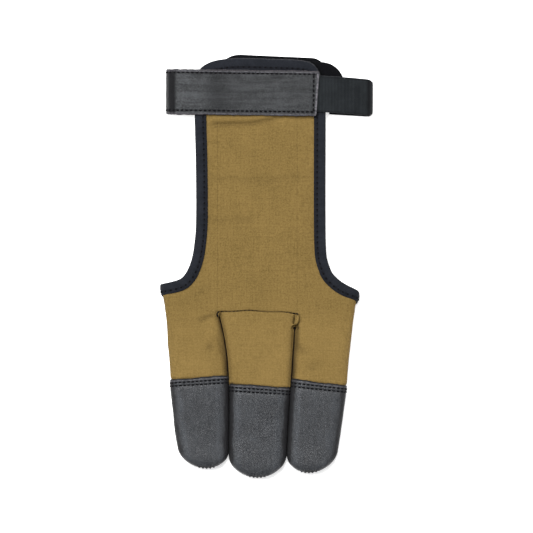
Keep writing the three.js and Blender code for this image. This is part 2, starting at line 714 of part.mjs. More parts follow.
function elasticBand() {
  const high = strapFront + ELASTIC / 2;
  const low = ELASTIC / 2;
  const path = [
    [strapEnd - ELASTIC_TUCK, high],
    [strapEnd - ELASTIC_TUCK / 2, high],
    [strapEnd, high],
    ...ELASTIC_BEND.map(({ out, up }) => [tongueRight + out * ELASTIC_OVERHANG, lerp(low, high, up)]),
    [hookLeft + HOOK_LENGTH + ELASTIC_GAP, low],
  ];
  const centreY = ({ x, z }) => strapY(strapEnd) + ELASTIC_SLOPE * (x - strapEnd) - ELASTIC_SLIP * (1 - z / high);
  return band({ path, samples: ELASTIC_SAMPLES, thickness: ELASTIC, width: ELASTIC_WIDTH, centreY, skew: 0 });
}

// A tab with round corners, lying flat on its lower face
function tab({ length, width, round, left, centreY, bottom }) {
  const shape = new THREE.Shape();
  const [l, w] = [length / 2, width / 2];
  shape.moveTo(-l + round, -w);
  shape.absarc(l - round, -w + round, round, -Math.PI / 2, 0);
  shape.absarc(l - round, w - round, round, 0, Math.PI / 2);
  shape.absarc(-l + round, w - round, round, Math.PI / 2, Math.PI);
  shape.absarc(-l + round, -w + round, round, Math.PI, (3 * Math.PI) / 2);
  const geometry = new THREE.ExtrudeGeometry(shape, { depth: TAB, bevelEnabled: false, curveSegments: CORNER_SEGMENTS });
  geometry.rotateZ(Math.atan(TAB_SLOPE));
  return geometry.translate(left + l, centreY, bottom);
}

const materials = {
  fabric: { color: "rgb(146, 120, 71)", roughness: 0.9, metalness: 0 },
  leather: { color: "rgb(84, 86, 90)", roughness: 0.55, metalness: 0 },
  tape: { color: "rgb(47, 49, 54)", roughness: 0.85, metalness: 0 },
  elastic: { color: "rgb(42, 46, 50)", roughness: 0.8, metalness: 0 },
  hookAndLoop: { color: "rgb(13, 16, 20)", roughness: 0.95, metalness: 0 },
};

const glove = new THREE.Group();
function piece(name, geometry, material) {
  const mesh = new THREE.Mesh(geometry, new THREE.MeshStandardMaterial(materials[material]));
  mesh.name = name;
  glove.add(mesh);
}

piece("back_panel", backPanel(), "fabric");
piece("middle_sleeve", middleSleeve(), "fabric");
piece("index_tip", fingertip(INDEX), "leather");
piece("middle_tip", fingertip(MIDDLE), "leather");
piece("ring_tip", fingertip(RING), "leather");
piece("edge_binding", edgeBinding(), "tape");
piece("wrist_strap", wristStrap(), "leather");
piece("elastic_band", elasticBand(), "elastic");
const hookTab = tab({
  length: HOOK_LENGTH,
  width: HOOK_WIDTH,
  round: HOOK_ROUND,
  left: hookLeft,
  centreY: HAND_LENGTH - HOOK_SETBACK,
  bottom: 0,
});
const loopTab = tab({
  length: LOOP_LENGTH,
  width: LOOP_WIDTH,
  round: LOOP_ROUND,
  left: returnEnd + 2 * CLEARANCE,
  centreY: HAND_LENGTH - LOOP_SETBACK,
  bottom: loopBottom,
});
piece("hook_tab", hookTab, "hookAndLoop");
piece("loop_tab", loopTab, "hookAndLoop");

// The origin: the middle of the footprint, on the surface that the glove lies on
const box = new THREE.Box3().setFromObject(glove);
const middle = box.getCenter(new THREE.Vector3());
glove.position.set(-middle.x, -middle.y, -box.min.z);

export default glove;
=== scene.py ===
# %% [markdown]
# # An archery glove, lying palm side down
#
# A shooting glove covers three fingers of the hand that draws the string. Its back is one piece of stretch
# fabric that runs into the sleeves of the index and ring fingers, the middle finger has a sleeve of its own,
# three leather tips take the string, a tape binds the fabric's edge, and a leather strap with an elastic end
# closes round the wrist. This notebook dresses the measured solids of that glove, piece by piece.
#
# The first step loads the solids. They say where each piece lies and how big it is, so they come before all
# the rest, and the box round them is kept to compare with the finished model.

# %% Load the measured glove
import math

import bpy
import numpy as np
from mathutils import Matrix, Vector


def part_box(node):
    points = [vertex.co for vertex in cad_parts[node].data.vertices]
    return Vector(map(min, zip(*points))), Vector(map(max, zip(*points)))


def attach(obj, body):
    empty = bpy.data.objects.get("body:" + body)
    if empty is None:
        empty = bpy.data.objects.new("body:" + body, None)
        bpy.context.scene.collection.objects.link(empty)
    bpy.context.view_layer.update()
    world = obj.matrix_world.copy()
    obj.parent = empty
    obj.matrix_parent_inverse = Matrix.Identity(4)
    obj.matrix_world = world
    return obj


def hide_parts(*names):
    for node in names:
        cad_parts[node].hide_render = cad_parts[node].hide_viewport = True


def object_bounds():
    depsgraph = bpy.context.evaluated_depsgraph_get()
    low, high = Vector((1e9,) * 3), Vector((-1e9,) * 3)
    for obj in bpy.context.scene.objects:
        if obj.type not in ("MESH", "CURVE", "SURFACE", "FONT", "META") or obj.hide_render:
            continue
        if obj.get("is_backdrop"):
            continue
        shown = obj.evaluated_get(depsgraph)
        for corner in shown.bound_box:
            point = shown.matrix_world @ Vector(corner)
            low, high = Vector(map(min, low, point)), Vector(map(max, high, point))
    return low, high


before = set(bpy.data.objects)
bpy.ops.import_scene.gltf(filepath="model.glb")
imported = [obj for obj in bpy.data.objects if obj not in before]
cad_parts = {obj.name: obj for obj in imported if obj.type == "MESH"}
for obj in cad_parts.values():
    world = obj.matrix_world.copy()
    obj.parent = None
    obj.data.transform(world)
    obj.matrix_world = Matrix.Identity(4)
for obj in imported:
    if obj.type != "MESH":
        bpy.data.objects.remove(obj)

cad_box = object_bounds()
print("solids:", sorted(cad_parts))

# %% [markdown]
# ## Working in the glove's own millimetres
#
# A glove is easiest to describe from its own landmarks: 0 across is the axis of the middle finger, 0 along is
# the seam of the middle sleeve, and height counts from the surface. The middle fingertip's box tells where
# those landmarks are in the frame, so nothing is placed by eye. Points are worked out in these millimetres
# and turned into metres when a mesh is made.

# %% Landmarks
MM = 0.001
MIDDLE_LENGTH = 86.9
MIDDLE_WIDTH = 31.9
MIDDLE_REACH = 0.505  # widest share of the middle finger, left of its axis
SEAM = (-0.25, -0.030, -0.0021)  # the seam's place along the hand: on the axis, its slope and its bend
SEAM_WAVE = (0.2, 0.35, 3.67)  # a slight wave along it: how deep, how fast and where it starts

tip_low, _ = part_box("middle_tip")
ORIGIN = np.array([tip_low.x / MM + MIDDLE_REACH * MIDDLE_WIDTH, tip_low.y / MM + MIDDLE_LENGTH, 0.0])
print("seam of the middle sleeve, in frame millimetres:", ORIGIN.round(2))

# %% [markdown]
# ## Tables and curves
#
# The outlines are short tables of shares, as a pattern cutter would note them. A curve through a table must
# not swing past its rows, or a finger would bulge between two measurements, so the slopes are limited where
# the table turns. Numpy evaluates a whole mesh's worth of points in one call.

# %% Helpers for curves
def smooth(value):
    t = np.clip(value, 0, 1)
    return t * t * (3 - 2 * t)


def mix(a, b, share):
    return a + (b - a) * share


def reader(xs, ys):
    """A smooth curve through (xs, ys) that stays between its rows and is level beyond its ends."""
    order = np.argsort(xs)
    xs, ys = np.asarray(xs, float)[order], np.asarray(ys, float)[order]
    rise = np.diff(ys) / np.diff(xs)
    before, after = np.append(rise[0], rise), np.append(rise, rise[-1])
    total = np.where(before + after == 0, 1, before + after)
    slope = np.where(before * after > 0, 2 * before * after / total, 0)

    def read(value):
        at = np.clip(value, xs[0], xs[-1])
        k = np.clip(np.searchsorted(xs, at, side="right") - 1, 0, len(xs) - 2)
        width = xs[k + 1] - xs[k]
        t = (at - xs[k]) / width
        return (
            (1 + 2 * t) * (1 - t) ** 2 * ys[k]
            + t * (1 - t) ** 2 * width * slope[k]
            + t * t * (3 - 2 * t) * ys[k + 1]
            + t * t * (t - 1) * width * slope[k + 1]
        )

    return read


def even_steps(points, step):
    """The same path with its points an even step apart."""
    lengths = np.append(0, np.cumsum(np.linalg.norm(np.diff(points, axis=0), axis=1)))
    places = np.linspace(0, lengths[-1], max(2, int(round(lengths[-1] / step)) + 1))
    return np.stack([np.interp(places, lengths, axis) for axis in points.T], axis=1)


def settle(values, rounds):
    """Evens a row of values out along a path, its ends held."""
    values = np.array(values, float)
    for _ in range(rounds):
        values[1:-1] = (values[:-2] + 2 * values[1:-1] + values[2:]) / 4
    return values


def unit(vectors):
    return vectors / np.linalg.norm(vectors, axis=-1, keepdims=True)


print("a curve keeps to its table:", reader([0, 1, 2], [0, 1, 1])(1.5))

# %% [markdown]
# ## Soft irregularity
#
# Cloth and leather are never exact. A few sine waves of different lengths and directions, added up, give a
# gentle unevenness that is the same on every run. It is cheaper than a noise texture and easy to scale.

# %% A gentle unevenness
WAVES = [
    (0.9, 0.4, 0.0, 0.3),
    (-0.5, 0.8, 0.6, 1.9),
    (0.3, -0.9, 0.9, 4.1),
    (0.7, 0.7, -0.5, 2.6),
    (-0.8, 0.2, 0.8, 5.2),
]  # a direction and a phase for each wave


def unevenness(points, length):
    """Values between about -1 and 1 that change over the given length."""
    total = sum(
        np.sin((points @ np.array([a, b, c])) * 2 * np.pi / (length * (1 + 0.23 * k)) + phase)
        for k, (a, b, c, phase) in enumerate(WAVES)
    )
    return total / len(WAVES) * 1.6


print("unevenness at one point:", unevenness(np.array([[1.0, 2.0, 3.0]]), 10).round(3))

# %% [markdown]
# ## Making meshes
#
# Almost every piece here is a grid of points: rings round a finger, or sections along a tape. One helper
# turns a grid into faces and another turns points and faces into a piece that rides on the glove's body,
# takes the place of its solid and gets its material. A piece can carry its own cloth
# coordinates, in millimetres along and across, so that ribs and weave follow it round a bend. A third value
# tells how deep in shade a point lies, in a furrow or on a side, which a soft even light alone can't show.
# The fabric also carries its distance from the gap between two sleeves, for a thin and even dark line.

# %% Grids, pieces and their places
def grid_faces(rows, columns, close_columns=True, close_rows=False):
    """Quads over a grid of points stored row by row."""
    r = np.arange(rows if close_rows else rows - 1)
    c = np.arange(columns if close_columns else columns - 1)
    r, c = np.meshgrid(r, c, indexing="ij")
    r, c = r.ravel(), c.ravel()
    r2, c2 = (r + 1) % rows, (c + 1) % columns
    return np.stack([r * columns + c, r * columns + c2, r2 * columns + c2, r2 * columns + c], axis=1)


def mesh_from(name, points, faces, cloth=None, gap=None):
    """A mesh in metres from points in glove millimetres. faces is a list of arrays of corners."""
    mesh = bpy.data.meshes.new(name)
    metres = (np.asarray(points, float) + ORIGIN) * MM
    metres[:, 2] = np.maximum(metres[:, 2], 0)
    polygons = [face for block in faces for face in block.tolist()]
    mesh.from_pydata(metres.tolist(), [], polygons)
    if cloth is not None:
        layer = mesh.attributes.new("cloth", "FLOAT_VECTOR", "POINT")
        layer.data.foreach_set("vector", np.asarray(cloth, np.float32).ravel())
    if gap is not None:
        layer = mesh.attributes.new("gap", "FLOAT", "POINT")
        layer.data.foreach_set("value", np.asarray(gap, np.float32))
    return mesh


def turn_out(mesh):
    """Turns the faces of a closed mesh so that they point out."""
    corners = np.zeros(len(mesh.vertices) * 3)
    mesh.vertices.foreach_get("co", corners)
    corners = corners.reshape(-1, 3)
    mesh.calc_loop_triangles()
    triangles = np.zeros(len(mesh.loop_triangles) * 3, np.int64)
    mesh.loop_triangles.foreach_get("vertices", triangles)
    a, b, c = corners[triangles.reshape(-1, 3)].transpose(1, 0, 2)
    if np.einsum("ij,ij->", a, np.cross(b, c)) < 0:
        mesh.flip_normals()


def piece(name, mesh, material, replaces=(), crease=40):
    """Puts a mesh on the glove's body, with faces that meet at more than the crease angle kept sharp."""
    turn_out(mesh)
    mesh.shade_smooth()
    mesh.set_sharp_from_angle(angle=math.radians(crease))
    mesh.materials.append(material)
    obj = bpy.data.objects.new(name, mesh)
    bpy.context.scene.collection.objects.link(obj)
    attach(obj, "root")
    if replaces:
        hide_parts(*replaces)
    print(f"{name}: {len(mesh.polygons)} faces")


print("faces of a grid of 3 by 4 points:", len(grid_faces(3, 4)))

# %% [markdown]
# ## Camera and light
#
# The photograph looks straight down on the glove from far above, so the camera has a long lens and no tilt.
# Its picture is 533 pixels wide and each pixel covers 0.52 mm of the glove, which fixes the field of view.
# One large soft light hangs over the glove, close to the camera's axis: level leather mirrors it and turns
# grey, while the sides of the fingers look past it and stay dark, as they do in the photograph, and painted
# shade on the leather makes them darker still. Two weaker ones, left and right, draw lighter streaks where
# the leather begins to turn down, and painted highlights strengthen them. A weak even light from all round
# fills the shadows.

# %% Camera and light
PICTURE_PIXELS = 533
PIXEL_SIZE = 0.52  # millimetres of the glove
PICTURE_WIDTH = PICTURE_PIXELS * PIXEL_SIZE * MM
CAMERA_HEIGHT = 6.0
FOCUS_HEIGHT = 0.009  # the level at which the picture's scale was measured
LOOK_AT = (0.0, -0.00015)
SKY_STRENGTH = 0.11

camera_data = bpy.data.cameras.new("overhead")
camera_data.sensor_width = 36
camera_data.lens = camera_data.sensor_width * (CAMERA_HEIGHT - FOCUS_HEIGHT) / PICTURE_WIDTH
camera = bpy.data.objects.new("overhead", camera_data)
camera.location = (*LOOK_AT, CAMERA_HEIGHT)
bpy.context.scene.collection.objects.link(camera)
bpy.context.scene.camera = camera


def soft_light(name, place, target, size, power):
    light = bpy.data.lights.new(name, "AREA")
    light.shape = "DISK"
    light.size = size
    light.energy = power
    obj = bpy.data.objects.new(name, light)
    obj.location = place
    obj.rotation_euler = (Vector(target) - Vector(place)).to_track_quat("-Z", "Y").to_euler()
    obj.visible_camera = False
    bpy.context.scene.collection.objects.link(obj)


soft_light("overhead_softbox", (-0.22, 0.42, 1.7), (0, 0, 0), 0.8, 46)
soft_light("left_softbox", (-1.2, 0.2, 1.4), (0, 0, 0), 0.7, 10)
soft_light("right_softbox", (1.2, 0.2, 1.4), (0, 0, 0), 0.7, 6)
world = bpy.data.worlds.new("studio")
world.use_nodes = True
sky = world.node_tree.nodes["Background"]
sky.inputs["Color"].default_value = (1, 1, 1, 1)
sky.inputs["Strength"].default_value = SKY_STRENGTH
bpy.context.scene.world = world
bpy.context.scene.view_settings.view_transform = "Standard"
print("lens:", round(camera_data.lens, 1), "mm")

# %% [markdown]
# ## Shader arithmetic
#
# Materials are written as sums. A `Wire` is one output of a node, and adding, multiplying or subtracting it
# adds the Math node for it, so `1 - mask` reads as it does on paper. Masks are soft steps, so one method
# makes a step between two values.

# %% Wires
class Wire:
    """One output of a shader node, with arithmetic."""

    def __init__(self, finish, socket):
        self.finish = finish
        self.socket = socket

    def math(self, operation, first, second=None):
        inputs = {0: first} if second is None else {0: first, 1: second}
        return self.finish.node("ShaderNodeMath", {"operation": operation}, inputs)

    def __add__(self, other):
        return self.math("ADD", self, other)

    def __sub__(self, other):
        return self.math("SUBTRACT", self, other)

    def __mul__(self, other):
        return self.math("MULTIPLY", self, other)

    def __rsub__(self, other):
        return self.math("SUBTRACT", other, self)

    __radd__ = __add__
    __rmul__ = __mul__

    def sine(self):
        return self.math("SINE", self)

    def size(self):
        return self.math("ABSOLUTE", self)

    def clamped(self):
        return self.finish.node("ShaderNodeClamp", {}, {"Value": self})

    def over(self, low, high):
        """0 below low, 1 above high, and a soft step between."""
        settings = {"interpolation_type": "SMOOTHSTEP"}
        inputs = {"Value": self, "From Min": low, "From Max": high}
        return self.finish.node("ShaderNodeMapRange", settings, inputs)


print("a wire knows:", ", ".join(name for name in vars(Wire) if not name.startswith("_")))

# %% [markdown]
# ## A finish in the making
#
# Every leather, cloth and thread here starts from Blender's Principled shader. `Finish` is such a material in
# the making: its `node` method makes any node from a type, its settings and its sockets, and a few methods
# give the nodes that most finishes need. That keeps each material to a few lines.

# %% Finishes
class Finish:
    """A material in the making: one Principled shader and the nodes that feed it."""

    def __init__(self, name, **constants):
        self.material = bpy.data.materials.new(name)
        self.material.use_nodes = True
        self.shader = self.material.node_tree.nodes["Principled BSDF"]
        for socket, value in constants.items():
            self.shader.inputs[socket.replace("_", " ")].default_value = value

    def node(self, kind, settings, inputs, output=0):
        """Makes a node: its settings first, then the values or wires of its sockets."""
        made = self.material.node_tree.nodes.new(kind)
        for key, value in settings.items():
            setattr(made, key, value)
        for key, value in inputs.items():
            self.plug(made.inputs[key], value)
        return Wire(self, made.outputs[output])

    def plug(self, socket, value):
        if isinstance(value, Wire):
            self.material.node_tree.links.new(value.socket, socket)
        else:
            socket.default_value = value

    def feed(self, **wires):
        for name, wire in wires.items():
            self.plug(self.shader.inputs[name.replace("_", " ")], wire)

    def place(self):
        """The point on the surface, in metres."""
        return self.node("ShaderNodeTexCoord", {}, {}, "Object")

    def cloth(self):
        """The piece's own two coordinates, in millimetres, and how deep in shade it lies, which is painted.
        """
        vector = self.node("ShaderNodeAttribute", {"attribute_name": "cloth"}, {}, "Vector")
        return [self.node("ShaderNodeSeparateXYZ", {}, {"Vector": vector}, k) for k in range(3)]

    def noise(self, scale, detail=2.0, roughness=0.5, stretch=None):
        """Noise with features of about 1 / scale metres."""
        vector = self.place()
        if stretch:
            vector = self.node("ShaderNodeVectorMath", {"operation": "MULTIPLY"}, {0: vector, 1: stretch})
        inputs = {"Vector": vector, "Scale": scale, "Detail": detail, "Roughness": roughness}
        return self.node("ShaderNodeTexNoise", {}, inputs)

    def blend(self, share, first, second):
        """Mixes two colours. They are sockets 6 and 7 of a Mix node, and its result is output 2."""
        sides = [side if isinstance(side, Wire) else (*side, 1) for side in (first, second)]
        settings = {"data_type": "RGBA"}
        return self.node("ShaderNodeMix", settings, {0: share, 6: sides[0], 7: sides[1]}, 2)

    def bump(self, height, distance, strength):
        inputs = {"Height": height, "Distance": distance, "Strength": strength}
        return self.node("ShaderNodeBump", {}, inputs)


def linear(red, green, blue):
    """A colour in steps of 0 to 255, as a screen shows it, in the shader's linear values."""
    shares = [step / 255 for step in (red, green, blue)]
    return tuple(((s + 0.055) / 1.055) ** 2.4 if s > 0.04 else s / 12.92 for s in shares)


print("olive brown in linear values:", [round(c, 3) for c in linear(146, 120, 71)])

# %% [markdown]
# ## Floor
#
# A studio floor is only there to receive the glove's soft shadow. It is a wide plane that glows a little, as
# a light table does, which keeps it white and the shadow faint. A floor lit by the lamps alone would need so
# much light that the leather turned pale. It is declared as stage, so it isn't part of the glove.

# %% Floor
FLOOR_HALF = 4.0
FLOOR_DEPTH = -0.0002
FLOOR_GLOW = 0.62

paper = Finish("pale_paper", Roughness=0.9, Emission_Color=(1, 1, 1, 1), Emission_Strength=FLOOR_GLOW)
paper.feed(Base_Color=paper.blend(paper.noise(3.0), (0.93, 0.93, 0.93), (0.95, 0.95, 0.95)))
floor_mesh = bpy.data.meshes.new("floor")
corners = [(-1, -1), (1, -1), (1, 1), (-1, 1)]
floor_points = [(x * FLOOR_HALF, y * FLOOR_HALF, FLOOR_DEPTH) for x, y in corners]
floor_mesh.from_pydata(floor_points, [], [(0, 1, 2, 3)])
floor_mesh.materials.append(paper.material)
floor = bpy.data.objects.new("floor", floor_mesh)
bpy.context.scene.collection.objects.link(floor)
floor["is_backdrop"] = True
print("floor half width:", FLOOR_HALF, "m")

# %% [markdown]
# ## Knitted fabric
#
# The back is a stretch fabric with a fine knitted face: columns of small V-shaped loops, about half a
# millimetre wide, that run along the hand. A photograph at this distance shows them only as a fine speckle
# with a faint grain along and across. Loops could be modelled as thread, but there would be a hundred
# thousand of them. Here they are a wave whose phase is bent into a V across each column, fed to a bump, and
# noises of several sizes give the colour its speckle and soft patches.

# %% Fabric pattern
WALE = 0.55  # width of one column of loops, in millimetres
COURSE = 0.42  # height of one loop
LOOP_BEND = 5.0  # how far a loop's sides lag behind its middle

knit = Finish("olive_knit", Roughness=0.88, Specular_IOR_Level=0.1)
across, along, painted_shade = knit.cloth()
column = across * (1 / WALE)
vee = (knit.node("ShaderNodeMath", {"operation": "FRACT"}, {0: column}) - 0.5).size()
loops = (along * (2 * math.pi / COURSE) + vee * LOOP_BEND).sine() * 0.5 + 0.5
ridge = (column * (2 * math.pi)).sine() * 0.5 + 0.5
fibres = knit.noise(4200.0, 3.0, 0.6)
threads = knit.noise(1700.0, 2.0, 0.6, (1.0, 0.06, 1.0))
weft = knit.noise(1700.0, 2.0, 0.6, (0.06, 1.0, 1.0))
mottle = knit.noise(1150.0, 2.0, 0.6)
patches = knit.noise(60.0, 2.0, 0.5)
speckle = fibres * 0.5 + threads * 0.24 + weft * 0.24 + mottle * 0.62 + patches * 0.2
# The fabric is a little lighter on the sleeves and towards the wrist end.
lighter_sleeves_and_wrist = (along * -1.0).over(-6.0, 12.0) * 0.1 + along.over(84.0, 104.0) * 0.05
tone = (loops * 0.2 + ridge * 0.25 + speckle + lighter_sleeves_and_wrist).over(0.68, 1.64)
print("columns per centimetre:", round(10 / WALE))

# %% [markdown]
# ## Dark lines in the fabric
#
# Where the middle sleeve is sewn on, and where two sleeves touch, hardly any light comes back, and the fabric
# shows a thin dark line with a soft shade beside it. Real depth gives only part of that, because the furrows
# are shallow. The rest is painted: the seam follows the same curve as its stitches, and the gap follows the
# distance that each point of the mesh carries.

# %% Fabric finish
SEAM_MIDDLE, SEAM_HALF = -1.0, 19.9  # where the painted seam lies across the hand

seam_curve = across * (across * SEAM[2] + SEAM[1]) + SEAM[0]
seam_curve = seam_curve + (across * SEAM_WAVE[1] + SEAM_WAVE[2]).sine() * SEAM_WAVE[0]
from_ends = (across - SEAM_MIDDLE).size().over(SEAM_HALF, SEAM_HALF + 0.8)
in_seam = (1 - (along - seam_curve).size().over(0.1, 0.45)) * (1 - from_ends)
gap = knit.node("ShaderNodeAttribute", {"attribute_name": "gap"}, {}, "Fac")
in_gap = 1 - gap.size().over(0.16, 0.46)
outside = gap * -1.0
beside_gap = (1 - outside.over(0.0, 3.6)) * outside.over(0.0, 0.2)
deeper = (along * -1.0).over(12.0, 32.0) * 0.45 + 0.42
# Painted shade: the seam line, the gap line with the shade beside it, and the shade of creases and dents.
dark = (in_seam * 0.66 + in_gap * 1.1 + beside_gap * deeper + painted_shade * 0.75).clamped()
olive = knit.blend(tone, linear(84, 68, 34), linear(136, 112, 65))
knit.feed(
    Base_Color=knit.blend(dark, olive, linear(22, 15, 8)),
    Roughness=fibres * 0.12 + 0.82,
    Normal=knit.bump(loops * 0.6 + ridge * 0.4 + fibres * 0.6, 0.00012, 0.9),
)
print("fabric:", knit.material.name)

# %% [markdown]
# ## Grained leather
#
# Glove leather is a dark grey hide with a pebbled grain: small domes, half a millimetre to a millimetre
# wide, with creases between them, and finer pores. Cells of a Voronoi texture, shaken by noise so that they
# lose their straight sides, make the domes. The grey comes mostly from the soft light mirrored by a satin
# surface, so the base is dark and the roughness varies with the grain. Shade on the sides and in the furrows
# is painted: there the hide turns nearly black, a shade below zero paints a lighter highlight instead, and
# `pale` marks where it is frayed.

# %% Leather finish
# The colour that painted shade darkens a hide or a weave towards.
NEARLY_BLACK = (0.002, 0.002, 0.003)


def leather_finish(name, dark, light, grain, depth, rough, gloss, streak, wear_range, pale):
    """Leather with domes of about 1 / grain metres, brushed along the long side of a streak."""
    hide = Finish(name, Specular_IOR_Level=gloss)
    place = hide.place()
    coarse = {"Vector": place, "Scale": grain * 0.8, "Detail": 2.0}
    shake = hide.node("ShaderNodeTexNoise", {}, coarse, "Color")
    moved = {0: shake, 1: (0.0012,) * 3, 2: place}
    shaken = hide.node("ShaderNodeVectorMath", {"operation": "MULTIPLY_ADD"}, moved)
    cells = {"Vector": shaken, "Scale": grain, "Randomness": 1.0}
    border = hide.node("ShaderNodeTexVoronoi", {"feature": "DISTANCE_TO_EDGE"}, cells)
    domes = border.over(0.0, 0.22)
    pores = hide.noise(grain * 5, 3.0, 0.6)
    cloud = hide.noise(110.0, 4.0, 0.6)
    brushed = hide.noise(700.0, 3.0, 0.6, streak)
    wear = (cloud * 0.5 + brushed * 0.55 + domes * 0.25).over(*wear_range)
    colour = hide.blend(wear, dark, light)
    _, _, painted_shade = hide.cloth()
    # Painted shade: the third cloth value darkens the hide towards nearly black, and below zero it paints a
    # lighter highlight.
    dim = (painted_shade + painted_shade * (cloud - 0.5) * 1.2).clamped()
    colour = hide.blend(dim * 0.92, colour, NEARLY_BLACK)
    colour = hide.blend((painted_shade * -1.0).clamped() * wear, colour, tuple(c * 1.9 for c in light))
    frayed = hide.noise(900.0, 3.0, 0.7)
    edge_colour = hide.blend(frayed.over(0.35, 0.65), linear(48, 48, 52), linear(104, 101, 107))
    colour = hide.blend(pale(hide, frayed), colour, edge_colour)
    hide.feed(
        Base_Color=colour,
        Roughness=rough + cloud * 0.2 - domes * 0.08 + dim * 0.3,
        Normal=hide.bump(domes * 0.8 + pores * 0.4 + brushed * 0.2, depth, 0.85),
    )
    return hide.material


print("shade of a furrow:", NEARLY_BLACK)

# %% [markdown]
# ## The two leathers
#
# The fingertips and the strap are the same hide, but the strap is brushed along its length and cut straight,
# while the tips are brushed along the finger. Cut leather shows its paler fibres outside the stitches. One
# recipe with two sets of values keeps the leathers alike, and two small masks say where each one is pale.

# %% Leathers
def pale_hem(hide, frayed):
    """The strip above the stitches of a fingertip."""
    _, below_edge, _ = hide.cloth()
    starts = (below_edge + frayed * 0.5).over(0.85, 1.1)
    ends = (below_edge + frayed * 0.8).over(1.2, 2.0)
    return starts * (1 - ends) * 0.5


def pale_cut(hide, frayed):
    """The strips outside the stitches of the strap: both long edges and the end."""
    length, side, _ = hide.cloth()
    shaken_side = side + frayed * 0.5
    upper = shaken_side.over(10.6, 10.9) * (1 - shaken_side.over(11.3, 11.5))
    lower = (1 - shaken_side.over(-10.7, -10.3)) * shaken_side.over(-11.6, -11.3)
    end = (1 - (length + frayed * 0.5).over(1.2, 1.6)) * length.over(0.2, 0.4)
    return (upper * 0.55 + lower * 0.45 + end * 0.9).clamped()


tip_leather = leather_finish(
    "tip_leather",
    dark=(0.009, 0.010, 0.012),
    light=(0.026, 0.029, 0.034),
    grain=1300.0,
    depth=0.00014,
    rough=0.38,
    gloss=0.42,
    streak=(1.0, 0.12, 1.0),
    wear_range=(0.35, 0.95),
    pale=pale_hem,
)
strap_leather = leather_finish(
    "strap_leather",
    dark=(0.003, 0.004, 0.005),
    light=(0.032, 0.034, 0.037),
    grain=1900.0,
    depth=0.00007,
    rough=0.42,
    gloss=0.24,
    streak=(0.06, 1.0, 1.0),
    wear_range=(0.48, 0.86),
    pale=pale_cut,
)
print("leathers:", tip_leather.name, strap_leather.name)

# %% [markdown]
# ## Raw leather edge
#
# Where leather is cut its grey-brown fibres show, lighter than the face. The cut edge gets a finish of its
# own, with a rough, fibrous bump. It isn't a piece of its own: a second material slot on the strap's mesh
# gives it to the faces along the rims.

# %% Raw edge finish
raw = Finish("raw_leather_edge", Roughness=0.9, Specular_IOR_Level=0.3)
fuzz = raw.noise(2600.0, 4.0, 0.65)
raw.feed(
    Base_Color=raw.blend(fuzz.over(0.3, 0.7), linear(26, 25, 28), linear(84, 80, 84)),
    Normal=raw.bump(fuzz, 0.00012, 0.9),
)
raw_edge = raw.material
print("edge:", raw_edge.name)

# %% [markdown]
# ## Tape and elastic
#
# The woven bands differ in their weave. The binding is a fine twill, so its bump is a slanted wave. The
# elastic has ribs across its length, which are real geometry further on, with fine threads over them. Both
# are two crossed waves of threads with loose hairs, so one recipe makes them.

# %% Woven finishes
def woven_finish(name, dark, light, warp, weft, slant, depth, rough, sheen):
    """A weave with threads of the given widths in millimetres, slanted for a twill."""
    cloth = Finish(name, Sheen_Weight=sheen, Sheen_Roughness=0.4, Specular_IOR_Level=0.12)
    along_band, across_band, painted_shade = cloth.cloth()
    twill = ((along_band + across_band * slant) * (2 * math.pi / warp)).sine() * 0.5 + 0.5
    picks = (across_band * (2 * math.pi / weft)).sine() * 0.5 + 0.5
    hairs = cloth.noise(3800.0, 3.0, 0.65)
    clouded = cloth.noise(180.0, 2.0, 0.5)
    lit = (twill * 0.3 + picks * 0.2 + hairs * 0.4 + clouded * 0.35).over(0.3, 1.0)
    # The third cloth value is painted shade, darkening the weave towards nearly black.
    cloth.feed(
        Base_Color=cloth.blend(painted_shade.clamped() * 0.8, cloth.blend(lit, dark, light), NEARLY_BLACK),
        Roughness=hairs * 0.15 + rough,
        Normal=cloth.bump(twill * 0.6 + picks * 0.3 + hairs * 0.5, depth, 0.8),
    )
    return cloth.material


binding_cloth = woven_finish(
    "binding_twill",
    dark=(0.004, 0.005, 0.007),
    light=(0.021, 0.023, 0.030),
    warp=0.5,
    weft=0.36,
    slant=0.9,
    depth=0.00012,
    rough=0.8,
    sheen=0.03,
)
elastic_cloth = woven_finish(
    "ribbed_elastic",
    dark=(0.003, 0.004, 0.005),
    light=(0.024, 0.028, 0.031),
    warp=0.75,
    weft=0.32,
    slant=0.0,
    depth=0.0001,
    rough=0.76,
    sheen=0.04,
)
print("weaves:", binding_cloth.name, elastic_cloth.name)

# %% [markdown]
# ## Hook-and-loop and thread
#
# The two tabs are black fuzz, and under the fuzz lies an even field of tiny hooks. Thread is the same fuzz on
# a finer scale, without hooks. Both are nearly black with a small, irregular relief, because hairs catch
# little light. Real hairs would be far too many for a piece that shows only its edge.

# %% Hook-and-loop finish and thread
HOOK_SPACING = (1.1, 1.3)  # along and across, in millimetres


def fuzz_finish(name, dark, light, scale, depth, hooks=0.0):
    """Fuzz with an even field of hooks or loops, hooks giving how strongly they show."""
    fur = Finish(name, Roughness=0.95, Sheen_Weight=0.04, Specular_IOR_Level=0.08)
    curls = fur.noise(scale, 4.0, 0.7)
    if hooks:
        length_wise, across_it, _ = fur.cloth()
        hook_rows = (length_wise * (2 * math.pi / HOOK_SPACING[0])).sine()
        field = hook_rows * (across_it * (2 * math.pi / HOOK_SPACING[1])).sine()
        curls = curls + field.over(0.2, 0.8) * hooks
    fur.feed(
        Base_Color=fur.blend(curls.over(0.35, 0.8), dark, light),
        Normal=fur.bump(curls, depth, 1.0),
    )
    return fur.material


